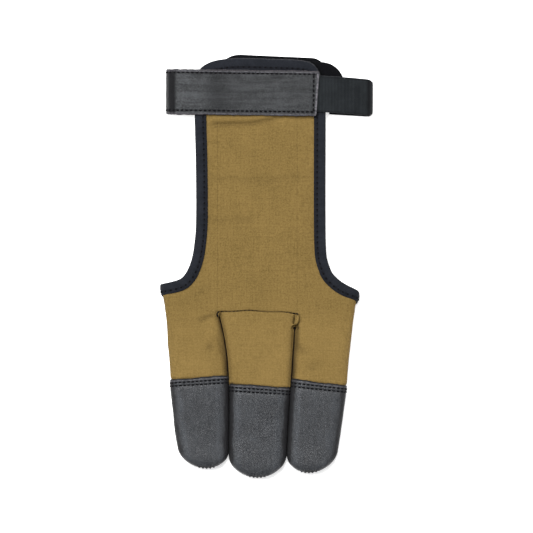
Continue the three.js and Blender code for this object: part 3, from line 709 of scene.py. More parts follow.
INK = (0.001, 0.001, 0.0015)
tab_fuzz = fuzz_finish("hook_and_loop", INK, (0.0055, 0.006, 0.0075), 1800.0, 0.0003, 0.35)
thread_black = fuzz_finish("black_thread", INK, (0.006, 0.006, 0.008), 5200.0, 0.00006)
print("fuzz:", tab_fuzz.name, thread_black.name)

# %% [markdown]
# ## The shape of a finger
#
# Each finger is a tube whose section is made of two halves of a superellipse: a round outer side and an inner
# side that the neighbouring finger presses flat near the seam. `wall` returns points of that tube from the
# turn round it, the place along it and the inset from the leather's surface, so leather, fabric and hollow
# come from the same formula and never cut into each other. The measures are those of the solids.

# %% Finger shapes
FABRIC, LEATHER, TAPE = 1.6, 1.4, 0.7
TAPE_CLEARANCE, PROUD, STALL_GAP, CLEARANCE = 0.35, 0.35, 0.5, 0.3
STALL_HEIGHT, TIP_DROP, MIDDLE_PUFF = 12.5, 1.1, 0.75
SOFT_SIDE, FIRM_SIDE, PRESSED_LENGTH, SLANT_FADE = 3, 4.8, 25, 20
UNDERLAP = 7
TAPE_REACH = TAPE + TAPE_CLEARANCE
MOUTH_FLOOR = TAPE_REACH - PROUD

OUTLINES = {
    "middle_down": [0, 0.1, 0.2, 0.3, 0.437, 0.598, 0.774, 0.898, 1],
    "middle_left": [0.677, 0.608, 0.555, 0.52, 0.5, 0.498, 0.505, 0.502, 0.498],
    "middle_right": [0.602, 0.558, 0.541, 0.52, 0.497, 0.464, 0.439, 0.42, 0.408],
    "index_down": [-0.122, -0.079, 0, 0.11, 0.225, 0.339, 0.438, 0.566, 0.643, 0.719, 0.795, 0.871, 1],
    "index_width": [0.957, 0.942, 0.911, 0.952, 0.992, 1, 1, 0.974, 0.951, 0.931, 0.898, 0.859, 0.8],
    "ring_down": [-0.077, 0, 0.107, 0.219, 0.329, 0.426, 0.514, 0.625, 0.734, 0.809, 0.883, 1],
    "ring_width": [1.056, 1.008, 1.018, 0.998, 0.988, 0.98, 0.963, 0.949, 0.922, 0.899, 0.878, 0.83],
}
middle_left = reader(OUTLINES["middle_down"], OUTLINES["middle_left"])
middle_right = reader(OUTLINES["middle_down"], OUTLINES["middle_right"])
index_width = reader(OUTLINES["index_down"], OUTLINES["index_width"])
ring_width = reader(OUTLINES["ring_down"], OUTLINES["ring_width"])


class Finger:
    """One finger of the glove, in glove millimetres."""

    def __init__(self, name, outward, length, tip, width, end, slant, lean, puff, inner_side, outer_side):
        self.name, self.outward, self.length, self.width = name, outward, length, width
        self.edge, self.end, self.slant, self.lean, self.puff = tip - length, end, slant, lean, puff
        self.inner_side, self.outer_side = inner_side, outer_side

    def limits(self, y):
        left = -MIDDLE_WIDTH * middle_left(-y / MIDDLE_LENGTH)
        right = MIDDLE_WIDTH * middle_right(-y / MIDDLE_LENGTH)
        if self.name == "index":
            return left - STALL_GAP - self.width * index_width(-y / self.length), left - STALL_GAP
        if self.name == "ring":
            return right + STALL_GAP, right + STALL_GAP + self.width * ring_width(-y / self.length)
        return left, right

    def side(self, y, exponent):
        softest = SOFT_SIDE if self.puff == 0 else FIRM_SIDE
        sleeve = mix(exponent, min(exponent, softest), smooth(-y / PRESSED_LENGTH))
        return mix(sleeve, FIRM_SIDE, smooth((self.edge + 2 - y) / 3))

    def faces_neighbour(self, x, y):
        """Where a point lies on the side of the finger that touches another one."""
        left, right = self.limits(y)
        return (x - (left + right) / 2) * self.outward < 0 if self.puff == 0 else x == x


MIDDLE = Finger("middle", -1, MIDDLE_LENGTH, 47.75, MIDDLE_WIDTH, 12, -0.074, 0, MIDDLE_PUFF, 5, 5)
INDEX = Finger("index", -1, 82.1, 47.2, 30.4, 10, 0.075, 0.8, 0, 6, FIRM_SIDE)
RING = Finger("ring", 1, 84.5, 47.1, 29.6, 11, -0.127, -0.5, 0, 6, FIRM_SIDE)
print("leather edges along the hand:", [round(f.edge, 1) for f in (INDEX, MIDDLE, RING)])

# %% [markdown]
# ## A point of a finger's wall
#
# A finger's tube narrows to a dome at its end, sinks a little towards the tip and stands open on the floor at
# its mouth. A subdivided box could be pulled into that shape, but then leather and fabric would be two
# guesses. One formula for any turn, place and inset gives all the skins at once.

# %% A point of a finger's wall
def wall(finger, turn, y, inset):
    """Points of a finger's wall: turn 0 is the top and a quarter turn the outer side."""
    turn, y, inset = np.broadcast_arrays(*(np.asarray(value, float) for value in (turn, y, inset)))
    end_y = inset - finger.length
    along_dome = np.clip((y - end_y) / (finger.end - inset), 0, 1)
    narrow = np.sqrt(1 - (1 - along_dome) ** 2)
    low = (1 - (1 - along_dome) ** FIRM_SIDE) ** (1 / FIRM_SIDE)
    leather_share = smooth((finger.edge - y) / (finger.length + finger.edge - finger.end))
    sleeve_share = np.clip(y / finger.edge, 0, 1)
    top = STALL_HEIGHT + finger.puff * np.sin(np.pi * np.sqrt(sleeve_share)) - TIP_DROP * leather_share
    bottom = MOUTH_FLOOR * smooth(1 - sleeve_share)
    left, right = finger.limits(y)
    centre = (left + right) / 2 + finger.lean * (1 - along_dome)
    half_width = ((right - left) / 2 - inset) * narrow
    half_height = ((top - bottom) / 2 - inset) * low
    s, c = np.sin(turn * 2 * np.pi), np.cos(turn * 2 * np.pi)
    outer_side = finger.outer_side if finger.puff == 0 else finger.side(y, finger.outer_side)
    power = 2 / np.where(s >= 0, outer_side, finger.side(y, finger.inner_side))
    x = centre + finger.outward * half_width * np.sign(s) * np.abs(s) ** power
    z = (top + bottom) / 2 + half_height * np.sign(c) * np.abs(c) ** power
    slant = finger.slant * np.clip(1 - np.abs(y - finger.edge) / SLANT_FADE, 0, 1)
    return np.stack([x, y + slant * (x - centre), z], axis=-1)


print("top of the middle fingertip:", wall(MIDDLE, 0, -60, 0).round(2))

# %% [markdown]
# ## Rings round a finger
#
# The points of a superellipse bunch up in its corners and leave its flat stretches bare. Relief and stitches
# need even points, so each ring is measured first and its turns are chosen an even distance apart.

# %% Even rings
quarter = np.linspace(0, 1, 500, endpoint=False)
bent_quarter = np.arctan2(quarter**3, (1 - quarter) ** 3) / (2 * np.pi)
FINE_TURNS = np.append(np.concatenate([bent_quarter + k / 4 for k in range(4)]), 1.0)


def even_turns(finger, count, y, inset):
    """Turns whose points are evenly spaced round the finger's section at y."""
    ring = wall(finger, FINE_TURNS, y, inset)
    lengths = np.append(0, np.cumsum(np.linalg.norm(np.diff(ring, axis=0), axis=1)))
    return np.interp(np.linspace(0, lengths[-1], count, endpoint=False), lengths, FINE_TURNS)


def rings(finger, ys, insets, count):
    ys, insets = np.broadcast_arrays(np.asarray(ys, float), np.asarray(insets, float))
    return np.array([wall(finger, even_turns(finger, count, y, i), y, i) for y, i in zip(ys, insets)])


def ring_normals(grid):
    """Outward normals of a grid of closed rings."""
    along = np.gradient(grid, axis=0)
    round_it = np.roll(grid, -1, axis=1) - np.roll(grid, 1, axis=1)
    normal = np.cross(along, round_it)
    normal /= np.maximum(np.linalg.norm(normal, axis=-1, keepdims=True), 1e-12)
    out = grid - grid.mean(axis=1, keepdims=True)
    return normal * np.sign(np.einsum("rck,rck->", normal, out))


def tube(grid, poles=(None, None), looped=False):
    """Points and faces of a skin over rings. A pole closes an end with a fan."""
    rows, columns = grid.shape[:2]
    points = grid.reshape(-1, 3)
    faces = [grid_faces(rows, columns, True, looped)]
    k = np.arange(columns)
    for pole, base, flip in ((poles[0], 0, 1), (poles[1], (rows - 1) * columns, 0)):
        if pole is None:
            continue
        a, b = base + k, base + (k + 1) % columns
        faces.append(np.stack([np.full(columns, len(points)), b if flip else a, a if flip else b], axis=1))
        points = np.vstack([points, pole])
    return points, faces


print("points round a fingertip:", len(even_turns(MIDDLE, 120, -60, 0)))

# %% [markdown]
# ## Smooth paths
#
# The outline of the back, the strap and the elastic follow smooth paths through a few points. A centripetal
# Catmull-Rom curve passes through all of them and doesn't loop where they lie close together.

# %% Paths
def through(points, step):
    """A smooth path through points, its own points an even step apart."""
    p = np.asarray(points, float)
    p = np.vstack([2 * p[0] - p[1], p, 2 * p[-1] - p[-2]])
    gaps = np.maximum(np.linalg.norm(np.diff(p, axis=0), axis=1), 1e-9) ** 0.5
    t = np.linspace(0, 1, 24, endpoint=False)[:, None]
    parts = []
    for k in range(1, len(p) - 2):
        before, here, after = gaps[k - 1 : k + 2]
        slope_before = (p[k] - p[k - 1]) / before
        slope_here = (p[k + 1] - p[k]) / here
        slope_after = (p[k + 2] - p[k + 1]) / after
        leave = slope_before - (p[k + 1] - p[k - 1]) / (before + here) + slope_here
        arrive = slope_here - (p[k + 2] - p[k]) / (here + after) + slope_after
        parts.append(
            (1 + 2 * t) * (1 - t) ** 2 * p[k]
            + t * (1 - t) ** 2 * here * leave
            + t * t * (3 - 2 * t) * p[k + 1]
            + t * t * (t - 1) * here * arrive
        )
    return even_steps(np.vstack([*parts, p[-2]]), step)


print("points on a path of two millimetres:", len(through([[0, 0], [1, 0], [2, 0]], 0.5)))

# %% [markdown]
# ## Stitches
#
# Thread shows as short dashes that come out of the leather, arch over it and dive back in. Each stitch is a
# small bent capsule on the real surface. A row is a path with a normal at every point, and one call lays all
# the rows of a piece.

# %% Stitches
STITCH_GRID = (7, 8)  # rings along a stitch, and points round it


def sew(rows, pitch, dash, radius, lift):
    """Points and faces of stitches along rows of (path, normals)."""
    stations, sides = STITCH_GRID
    share = np.linspace(0, 1, stations)
    swell = np.sqrt(np.clip(1 - (2 * share - 1) ** 4, 0.05, 1))
    arch = radius * (lift + 1.1 * np.sin(np.pi * share) - 1.0)
    angle = np.arange(sides) * 2 * np.pi / sides
    points, faces, count = [], [], 0
    for path, normals in rows:
        lengths = np.append(0, np.cumsum(np.linalg.norm(np.diff(path, axis=0), axis=1)))
        number = max(1, int(lengths[-1] / pitch))
        starts = (np.arange(number) + 0.5 * (1 - dash / pitch)) * lengths[-1] / number
        places = starts[:, None] + share * dash
        centre = np.stack([np.interp(places, lengths, path[:, k]) for k in range(3)], axis=-1)
        up = unit(np.stack([np.interp(places, lengths, normals[:, k]) for k in range(3)], axis=-1))
        forward = unit(np.gradient(centre, axis=1))
        side = unit(np.cross(forward, up))
        centre = centre + up * arch[None, :, None]
        ring = (
            centre[:, :, None]
            + side[:, :, None] * (np.cos(angle)[:, None] * radius * 1.15) * swell[:, None, None]
            + up[:, :, None] * (np.sin(angle)[:, None] * radius * 0.85) * swell[:, None, None]
        )
        poles = centre[:, [0, -1]] + forward[:, [0, -1]] * np.array([-1, 1])[None, :, None] * radius * 0.5
        block = grid_faces(stations, sides)
        k = np.arange(sides)
        last = (stations - 1) * sides
        size = stations * sides + 2
        for n in range(number):
            base = count + n * size
            faces.append(block + base)
            fan = np.full(sides, base + stations * sides)
            faces.append(np.stack([fan, base + (k + 1) % sides, base + k], axis=1))
            faces.append(np.stack([fan + 1, base + last + k, base + last + (k + 1) % sides], axis=1))
        points.append(np.concatenate([ring.reshape(number, -1, 3), poles], axis=1).reshape(-1, 3))
        count += number * size
    return np.vstack(points), faces


print("a stitch has", STITCH_GRID[0] * STITCH_GRID[1] + 2, "points")

# %% [markdown]
# ## Relief and shade of a fingertip
#
# Two rows of stitches pull two furrows into the leather, with a ridge between them. The hide is never flat:
# broad shallow dents and finer ones catch the light. Where the leather turns down at the sides it looks past
# the lamps and is nearly black, with a paler streak just inside. Lamps small enough to draw that edge would
# leave hard glints elsewhere, so the shade and the streak are painted from values laid into the mesh, and
# the lamps stay large and soft. The furrows of the rows, the rim and the underside get painted shade too.

# %% Relief and shade of a fingertip
STITCH_ROWS = (1.9, 3.6)
ROW_HALF = 0.4  # half the width of the furrow under a row of stitches
SCUFF = (-3.9, -67.0, 1.6, 0.5)  # a light mark on the middle tip: across, along and its two sizes


def furrows_at(depth):
    return sum(np.exp(-(((depth - row) / ROW_HALF) ** 2)) for row in STITCH_ROWS)


def tip_relief(finger, grid, depth):
    """How far the leather stands out of its even shape, for a depth below its edge."""
    ridge = np.exp(-(((depth - np.mean(STITCH_ROWS)) / 0.45) ** 2))
    rounding = np.exp(-((depth / 0.35) ** 2))
    swelling = smooth((depth - STITCH_ROWS[1]) / 3) * 0.12
    dents = 0.1 * unevenness(grid + finger.edge, 17) + 0.02 * unevenness(grid - finger.length, 5.3)
    return -0.26 * furrows_at(depth) + 0.1 * ridge - 0.3 * rounding + swelling + dents * smooth(depth / 6)


def side_shade(finger, grid, depth):
    """Painted shade on the sides, in the rows, at the rim and underneath, with a painted lighter streak
    inside and a light scuff.
    """
    x, y, z = grid.transpose(2, 0, 1)
    left, right = finger.limits(y)
    wander = 0.35 * unevenness(grid, 7) + 0.2 * unevenness(grid, 2.3)
    from_left, from_right, from_end = x - left + wander, right - x + wander, y + finger.length
    sides = np.maximum(smooth((2.7 - from_left) / 1.5), smooth((3.5 - from_right) / 2.3))
    dark = np.maximum(sides, smooth((1.4 - from_end) / 0.8))
    streak = 0.6 * np.exp(-(((from_left - 4.6) / 1.3) ** 2))
    streak = streak + 0.3 * np.exp(-(((from_right - 5.4) / 1.4) ** 2))
    rows = furrows_at(depth)
    rim = 1.2 * smooth((0.85 - depth + 0.2 * unevenness(grid, 2.9)) / 0.5)
    inner = finger.faces_neighbour(x, y) * smooth((2.1 - np.minimum(from_left, from_right)) / 1.0)
    highlight_and_scuff = streak * smooth((from_end - 3) / 3) * (1 - np.clip(rows, 0, 1))
    scuff_x, scuff_y, scuff_long, scuff_short = SCUFF
    highlight_and_scuff = highlight_and_scuff + np.exp(-(((x - scuff_x) / scuff_long) ** 2) - ((y - scuff_y) / scuff_short) ** 2)
    return np.where(z > 4, 0.85 * dark + 1.3 * inner - highlight_and_scuff + 0.55 * rows + rim, 0.4)


print("rows of stitches below the leather's edge:", STITCH_ROWS, "mm")

# %% [markdown]
# ## Leather fingertips
#
# Each fingertip is a hollow shell of leather 1.4 mm thick. Its upper edge is cut a little unevenly. At the
# very end of the finger the leather is gathered in a short seam, which shows as small scallops from above.
# The shell could be a sculpted capsule with a Solidify modifier, but rings from the finger's formula meet the
# sleeve exactly and leave a clean hollow. Where two tips touch, their sides are filled out, so that no light
# falls through between them.

# %% Fingertips
TIP_COUNT = 132  # points round a tip
GATHER = 5.0  # half the width of the gathered seam at the end
SCALLOP, SCALLOP_PITCH = 0.36, 1.9
FILLED_OUT = 0.36  # how far a touching side stands out


def fingertip(finger):
    def shell(inset, step, dome_rows, count):
        start = finger.end - finger.length
        straight = np.arange(finger.edge, start + step / 2, -step)
        sweep = np.linspace(0, np.pi / 2, dome_rows)[:-1]
        dome = inset - finger.length + (finger.end - inset) * (1 - np.sin(sweep))
        ys = np.append(straight, dome)
        return ys, rings(finger, ys, inset, count)

    ys, outer = shell(0.0, 0.5, 34, TIP_COUNT)
    depth = np.broadcast_to(finger.edge - ys[:, None], outer.shape[:2])
    normal = ring_normals(outer)
    relief = tip_relief(finger, outer, depth)
    from_middle = outer[..., 0] - outer[-1, :, 0].mean()
    at_end = np.exp(-(((outer[..., 1] + finger.length) / 1.6) ** 2)) * (np.abs(from_middle) < GATHER)
    relief = relief + SCALLOP * at_end * np.cos(from_middle * 2 * np.pi / SCALLOP_PITCH)
    touching = smooth((np.abs(normal[..., 0]) - 0.6) / 0.3) * smooth((9.2 - outer[..., 2]) / 3)
    touching = touching * finger.faces_neighbour(outer[..., 0], outer[..., 1])
    relief = mix(relief, FILLED_OUT, touching)
    outer = outer + normal * relief[..., None]

    inner_ys, inner = shell(LEATHER, 1.6, 12, TIP_COUNT)
    ragged = 0.2 * unevenness(outer[0] + finger.length, 9) + 0.08 * unevenness(outer[0], 2.1)
    for grid, place in ((outer, ys), (inner, inner_ys)):
        grid[..., 1] += ragged * np.exp(-(finger.edge - place[:, None]) / 1.5)
    rim = [mix(outer[0], inner[0], share) + np.array([0, 0.14, 0]) for share in (0.33, 0.67)]
    grid = np.concatenate([outer[::-1], rim, inner])
    end = outer[-1].mean(axis=0) - np.array([0, 0.05, 0])
    points, faces = tube(grid, (end, inner[-1].mean(axis=0)))
    far_below = np.full(len(inner_ys), 30.0)
    cloth_depth = np.concatenate([depth[::-1, 0], [0, 0], far_below])[:, None]
    shades = side_shade(finger, grid, cloth_depth)
    cloth = np.stack(np.broadcast_arrays(0.0, cloth_depth, shades), axis=-1)
    cloth = np.vstack([cloth.reshape(-1, 3), [[0, 60, 0], [0, 30, 0]]])
    name = f"{finger.name}_tip"
    piece(f"{name}_leather", mesh_from(name, points, faces, cloth), tip_leather, (name,), 50)


for finger in (INDEX, MIDDLE, RING):
    fingertip(finger)

# %% [markdown]
# ## Stitches of the fingertips
#
# Both rows go all the way round each finger. The path of a row is a ring of the leather's own shape, a little
# below its surface, so that the thread sits in its furrow. Each finger's stitches are one piece, beside its
# leather.

# %% Stitches of the fingertips
TIP_PITCH, TIP_DASH, TIP_THREAD = 2.2, 1.7, 0.34  # from stitch to stitch, one stitch, and its radius
THREAD_LIFT = 0.5  # how high a stitch arches, as a share of its radius


def tip_rows(finger):
    rows = []
    for row in STITCH_ROWS:
        y = finger.edge - row
        ring = wall(finger, even_turns(finger, 240, y, 0.1), y, 0.1)
        ring = np.vstack([ring, ring[:1]])
        forward = np.gradient(ring, axis=0)
        normals = unit(np.cross(forward, np.array([0.0, 1.0, 0.0])))
        out = ring - ring.mean(axis=0)
        rows.append((ring, normals * np.sign(np.einsum("ij,ij->", normals, out))))
    return rows


for finger in (INDEX, MIDDLE, RING):
    points, faces = sew(tip_rows(finger), TIP_PITCH, TIP_DASH, TIP_THREAD, THREAD_LIFT)
    piece(f"{finger.name}_tip_stitches", mesh_from("stitches", points, faces), thread_black)

# %% [markdown]
# ## The outline of the back
#
# The back is a tongue that widens in two flares to the sleeves of the outer fingers. Its outline is a table
# of a few measured points on each side, and a smooth path through them gives both the fabric's edge and the
# line that the binding follows.

# %% Outline of the back
HAND_LENGTH, TONGUE_WIDTH, TONGUE_SHIFT, FLARE_HEIGHT = 130.55, 65.4, 0.37, 32.1
INDEX_WING, RING_WING, PALM_SETBACK, SHOULDER = 12.9, 8.9, 4.6, 5
HAND_SAG, HAND_ARCH, SHEET_LAP = 0.8, 0.9, 0.05
TAB, ELASTIC = 1.2, 1.3
WRIST_OPENING = 6.4
COLLAR_DROP = 0.5  # how much lower the wrist end lies between its corners
FLARES = {
    "left": [
        (0, 1), (0.01, 0.925), (0.036, 0.698), (0.081, 0.466), (0.171, 0.31), (0.305, 0.191), (0.474, 0.1),
        (0.688, 0.043), (0.935, 0.005),
    ],
    "right": [
        (0, 1), (0.031, 0.966), (0.051, 0.906), (0.089, 0.729), (0.157, 0.509), (0.226, 0.354),
        (0.313, 0.206), (0.431, 0.114), (0.569, 0.04), (0.766, 0.009),
    ],
}  # (rise, out) as shares of the flare's height and of the way out
CORNERS = {
    "left": [
        (0.92, 1), (0.45, 1.02), (0.283, 1.02), (0.168, 1.002), (0.08, 0.938), (0.05, 0.852), (0.028, 0.765),
        (0.0115, 0.641), (0.0015, 0.485), (0, 0.164),
    ],
    "right": [
        (0.0046, 0.14), (0.016, 0.625), (0.042, 0.8), (0.0925, 0.885), (0.1445, 0.927), (0.237, 0.976),
        (0.344, 0.998), (0.459, 1),
    ],
}  # (drop, out) as shares of the tongue's width and half width
MOUTH = [(0.25, 0), (0.34, 0.25), (0.5, 0.55), (0.68, 0.95), (0.8, 1)]

STRAP_BACK = TAB + CLEARANCE
OPENING_BOTTOM = max(STRAP_BACK + LEATHER, ELASTIC + CLEARANCE + TAB)
WRIST_TOP = OPENING_BOTTOM + WRIST_OPENING + TAPE_REACH + FABRIC
STRAP_LEVEL = WRIST_TOP + TAPE_REACH + CLEARANCE
mouth_back = reader(*zip(*MOUTH))


class Wing:
    """One flare of the back, with the mouth of the sleeve it runs into."""

    def __init__(self, side, finger, y, tongue):
        self.side, self.finger, self.y, self.tongue = side, finger, y, tongue
        self.outer = float(wall(finger, 0.25, y, PROUD)[0])
        self.shoulder = self.outer - finger.outward * SHOULDER
        self.rise_at = reader([out for _, out in FLARES[side]], [rise for rise, _ in FLARES[side]])

    def out_share(self, x):
        return (x - self.tongue) / (self.outer - self.tongue)

    def edge_y(self, x):
        return self.y + FLARE_HEIGHT * self.rise_at(self.out_share(x))

    def mouth(self, turn):
        """Where the sleeve's mouth lies along the hand, for turns round it."""
        x = wall(self.finger, turn, self.y, PROUD)[..., 0]
        beyond = self.finger.outward * (x - self.shoulder) > 0
        upper = np.where(beyond, self.edge_y(x), self.y - PALM_SETBACK)
        return np.where(np.asarray(turn) >= 0.25, self.y - PALM_SETBACK * mouth_back(turn), upper)

    def flare(self):
        inside = [row for row in FLARES[self.side] if row[1] < self.out_share(self.shoulder) - 0.05]
        rows = [(mix(self.tongue, self.outer, out), self.y + FLARE_HEIGHT * rise) for rise, out in inside]
        return [(self.shoulder, float(self.edge_y(self.shoulder))), *rows]

    def corner(self):
        side = -1 if self.side == "left" else 1
        rows = []
        for drop, out in CORNERS[self.side]:
            lowered = HAND_LENGTH - drop * TONGUE_WIDTH - COLLAR_DROP * smooth((0.95 - out) / 0.4)
            rows.append((TONGUE_SHIFT + side * out * TONGUE_WIDTH / 2, lowered))
        return rows


LEFT = Wing("left", INDEX, INDEX_WING, TONGUE_SHIFT - TONGUE_WIDTH / 2)
RIGHT = Wing("right", RING, RING_WING, TONGUE_SHIFT + TONGUE_WIDTH / 2)
outline = through([*LEFT.flare(), *LEFT.corner(), *RIGHT.corner(), *RIGHT.flare()[::-1]], 0.6)


def seam_y(x):
    depth, speed, start = SEAM_WAVE
    return SEAM[0] + x * (SEAM[1] + x * SEAM[2]) + depth * np.sin(x * speed + start)


print("outline points:", len(outline))

# %% [markdown]
# ## The height of the back
#
# Seen from the side, the back runs level over the fingers, dips a little in the middle of the hand and lies
# lower at its edges. A cloth simulation would find such a shape too, but not the same one on every computer.
# Here the height is a function of the place, which blends from the tops of the sleeves to the hand.

# %% The height of the back
def fingers_top(x, y):
    heights = []
    for wing in (LEFT, RIGHT):
        y0 = np.minimum(y, wing.y)
        side = wall(wing.finger, 0.25, y0, PROUD)[..., 0]
        ridge = wall(wing.finger, 0.0, y0, PROUD)
        floor = wall(wing.finger, 0.5, y0, PROUD)[..., 2]
        share = np.clip((x - ridge[..., 0]) / (side - ridge[..., 0]), 0, 0.999)
        half = (ridge[..., 2] - floor) / 2
        heights.append(floor + half + half * (1 - share**FIRM_SIDE) ** (1 / FIRM_SIDE))
    return np.where(x < 0, *heights)


def panel_top(x, y):
    x, y = np.broadcast_arrays(np.asarray(x, float), np.asarray(y, float))
    up = np.clip(y / HAND_LENGTH, 0, 1)
    across = (x - TONGUE_SHIFT) / (TONGUE_WIDTH / 2)
    free = np.sin(np.pi * up)
    hand = mix(STALL_HEIGHT - PROUD, WRIST_TOP, up) - free * (HAND_SAG + HAND_ARCH * np.minimum(1, across**2))
    blend = smooth((y - INDEX_WING / 3) / FLARE_HEIGHT)
    return mix(fingers_top(x, y), hand, blend)


print("height of the fabric at the wrist:", panel_top(0.0, HAND_LENGTH).round(2))

# %% [markdown]
# ## Fabric sleeves
#
# A sleeve is a tube of fabric from its mouth to a thin hem sewn inside the leather. Just above the leather
# the stitches pull the fabric down, so the tube narrows smoothly there instead of in a step.

# %% Sleeve tube
HEM = 1.0
HEM_INSET = LEATHER + CLEARANCE


def sleeve_rings(finger, mouth, count, step):
    """Rings of a sleeve from its mouth down the outside, round the hem and back up the inside."""

    def side(mouth_inset, pulled_inset, pull_start):
        turns = even_turns(finger, count, 0, mouth_inset)
        mouth_y = mouth(turns)
        top_rows = max(3, int(round(np.max(np.abs(mouth_y)) / step)))
        top = [wall(finger, turns, mouth_y * (1 - s), mouth_inset) for s in np.linspace(0, 1, top_rows)]
        low = finger.edge - UNDERLAP
        ys = np.linspace(0, low, int(-low / step))[1:]
        insets = mix(mouth_inset, pulled_inset, smooth((finger.edge + pull_start - ys) / 1.0))
        return np.concatenate([top, rings(finger, ys, insets, count)])

    outer = side(PROUD, HEM_INSET, 0.6)
    inner = side(PROUD + FABRIC, HEM_INSET + HEM, 1.9)
    return outer, inner


print("hem inset:", HEM_INSET)

# %% [markdown]
# ## The back and the two outer sleeves
#
# The back, the index sleeve and the ring sleeve are one piece of fabric without a seam. The back is a sheet
# over a triangulated outline, the sleeves are tubes, and a voxel remesh melts the three into one skin. A
# boolean union would join them too, but with a sharp line where they meet. Small webs of fabric close the
# corners beside the middle sleeve, and a few rounds of smoothing take away the voxels' steps.

# %% Bodies of the back
from mathutils.geometry import delaunay_2d_cdt

SHEET_STEP = 1.3


def sheet_block():
    seam_x = np.linspace(RIGHT.shoulder, LEFT.shoulder, 60)
    seam = np.stack([seam_x, seam_y(seam_x)], axis=1)
    rim = np.vstack([outline, seam])
    inner_x, inner_y = np.meshgrid(np.arange(-50, 50, SHEET_STEP), np.arange(2, HAND_LENGTH, SHEET_STEP))
    inner = np.stack([inner_x.ravel(), inner_y.ravel()], axis=1)
    from_rim = np.array([np.min(np.hypot(*(rim - p).T)) for p in inner])
    inner = inner[from_rim > 0.8]
    flat = [Vector(p) for p in np.vstack([rim, inner]).tolist()]
    corners, _, triangles, _, _, _ = delaunay_2d_cdt(flat, [], [list(range(len(rim)))], 1, 1e-5)
    plan = np.array([tuple(c) for c in corners])
    triangles = np.array([t for t in triangles if len(t) == 3])
    top = np.column_stack([plan, panel_top(plan[:, 0], plan[:, 1]) + SHEET_LAP])
    size = len(top)
    edges = {}
    for t in triangles:
        for a, b in ((t[0], t[1]), (t[1], t[2]), (t[2], t[0])):
            edges[(a, b)] = True
    border = np.array([(a, b) for a, b in edges if (b, a) not in edges])
    walls = np.stack([border[:, 1], border[:, 0], border[:, 0] + size, border[:, 1] + size], axis=1)
    points = np.vstack([top, top - np.array([0, 0, FABRIC])])
    return points, [triangles, triangles[:, ::-1] + size, walls]


sheet = sheet_block()
print("triangles of the sheet:", len(sheet[1][0]))

# %% [markdown]
# ## Melting bodies into one skin
#
# A tube closed on itself is a sleeve with its inside, and a round body along a few points, a sausage, makes
# a web or a small roll of spare cloth. The remesh takes any number of such closed bodies. It needs a real
# object with modifiers for a moment, which is removed again once its points are read.

# %% Sleeves, sausages and the remesh
VOXEL = 0.6


def remesh(name, bodies, voxel, rounds):
    """Melts closed bodies into one skin and smooths it. The result is a mesh in glove millimetres."""
    points, faces, count = [], [], 0
    for body_points, body_faces in bodies:
        points.append(body_points)
        faces += [block + count for block in body_faces]
        count += len(body_points)
    mesh = bpy.data.meshes.new(name)
    mesh.from_pydata(np.vstack(points).tolist(), [], [f for block in faces for f in block.tolist()])
    obj = bpy.data.objects.new(name, mesh)
    bpy.context.scene.collection.objects.link(obj)
    melt = obj.modifiers.new("melt", "REMESH")
    melt.mode = "VOXEL"
    melt.voxel_size = voxel
    soft = obj.modifiers.new("soft", "SMOOTH")
    soft.factor = 0.5
    soft.iterations = rounds
    shaped = obj.evaluated_get(bpy.context.evaluated_depsgraph_get()).to_mesh()
    corners = np.zeros(len(shaped.vertices) * 3)
    normals = np.zeros(len(shaped.vertices) * 3)
    shaped.vertices.foreach_get("co", corners)
    shaped.vertex_normals.foreach_get("vector", normals)
    quads = [list(polygon.vertices) for polygon in shaped.polygons]
    bpy.data.objects.remove(obj)
    bpy.data.meshes.remove(mesh)
    return corners.reshape(-1, 3), normals.reshape(-1, 3), quads


def closed_sleeve(finger, mouth):
    outer, inner = sleeve_rings(finger, mouth, 150, 0.8)
    return tube(np.concatenate([outer, inner[::-1]]), looped=True)


def sausage(path, radii):
    """A round closed body along a few points, with a radius at each."""
    line = through(np.column_stack([path, radii]), 0.25)
    centre, radius = line[:, :3], line[:, 3]
    forward = unit(np.gradient(centre, axis=0))
    side = unit(np.cross(forward, [0.0, 0.0, 1.0]))
    up = np.cross(side, forward)
    angle = np.arange(16) * 2 * np.pi / 16
    ring = side[:, None] * np.cos(angle)[:, None] + up[:, None] * np.sin(angle)[:, None]
    return tube(centre[:, None] + ring * radius[:, None, None], (centre[0], centre[-1]))


WEB_SIDES = (-21.7, 19.4)
bodies = [sheet, closed_sleeve(INDEX, LEFT.mouth), closed_sleeve(RING, RIGHT.mouth)]
bodies += [sausage([(x, -0.9, 11.0), (x, -1.6, 7), (x, -2.2, 2.5)], [1.5, 1.4, 1.2]) for x in WEB_SIDES]
skin, skin_normals, skin_faces = remesh("back", bodies, VOXEL, 5)
print("points of the melted skin:", len(skin))

# %% [markdown]
# ## Creases and dents
#
# The fabric has been worn: a crease crosses the hand below the strap, fainter ones lie under it, and small
# dents surround the middle sleeve. They could be sculpted, but a list can be read and changed. Every point of
# the skin moves along its normal by the sum of them, and gets a little painted shade where it moves in.

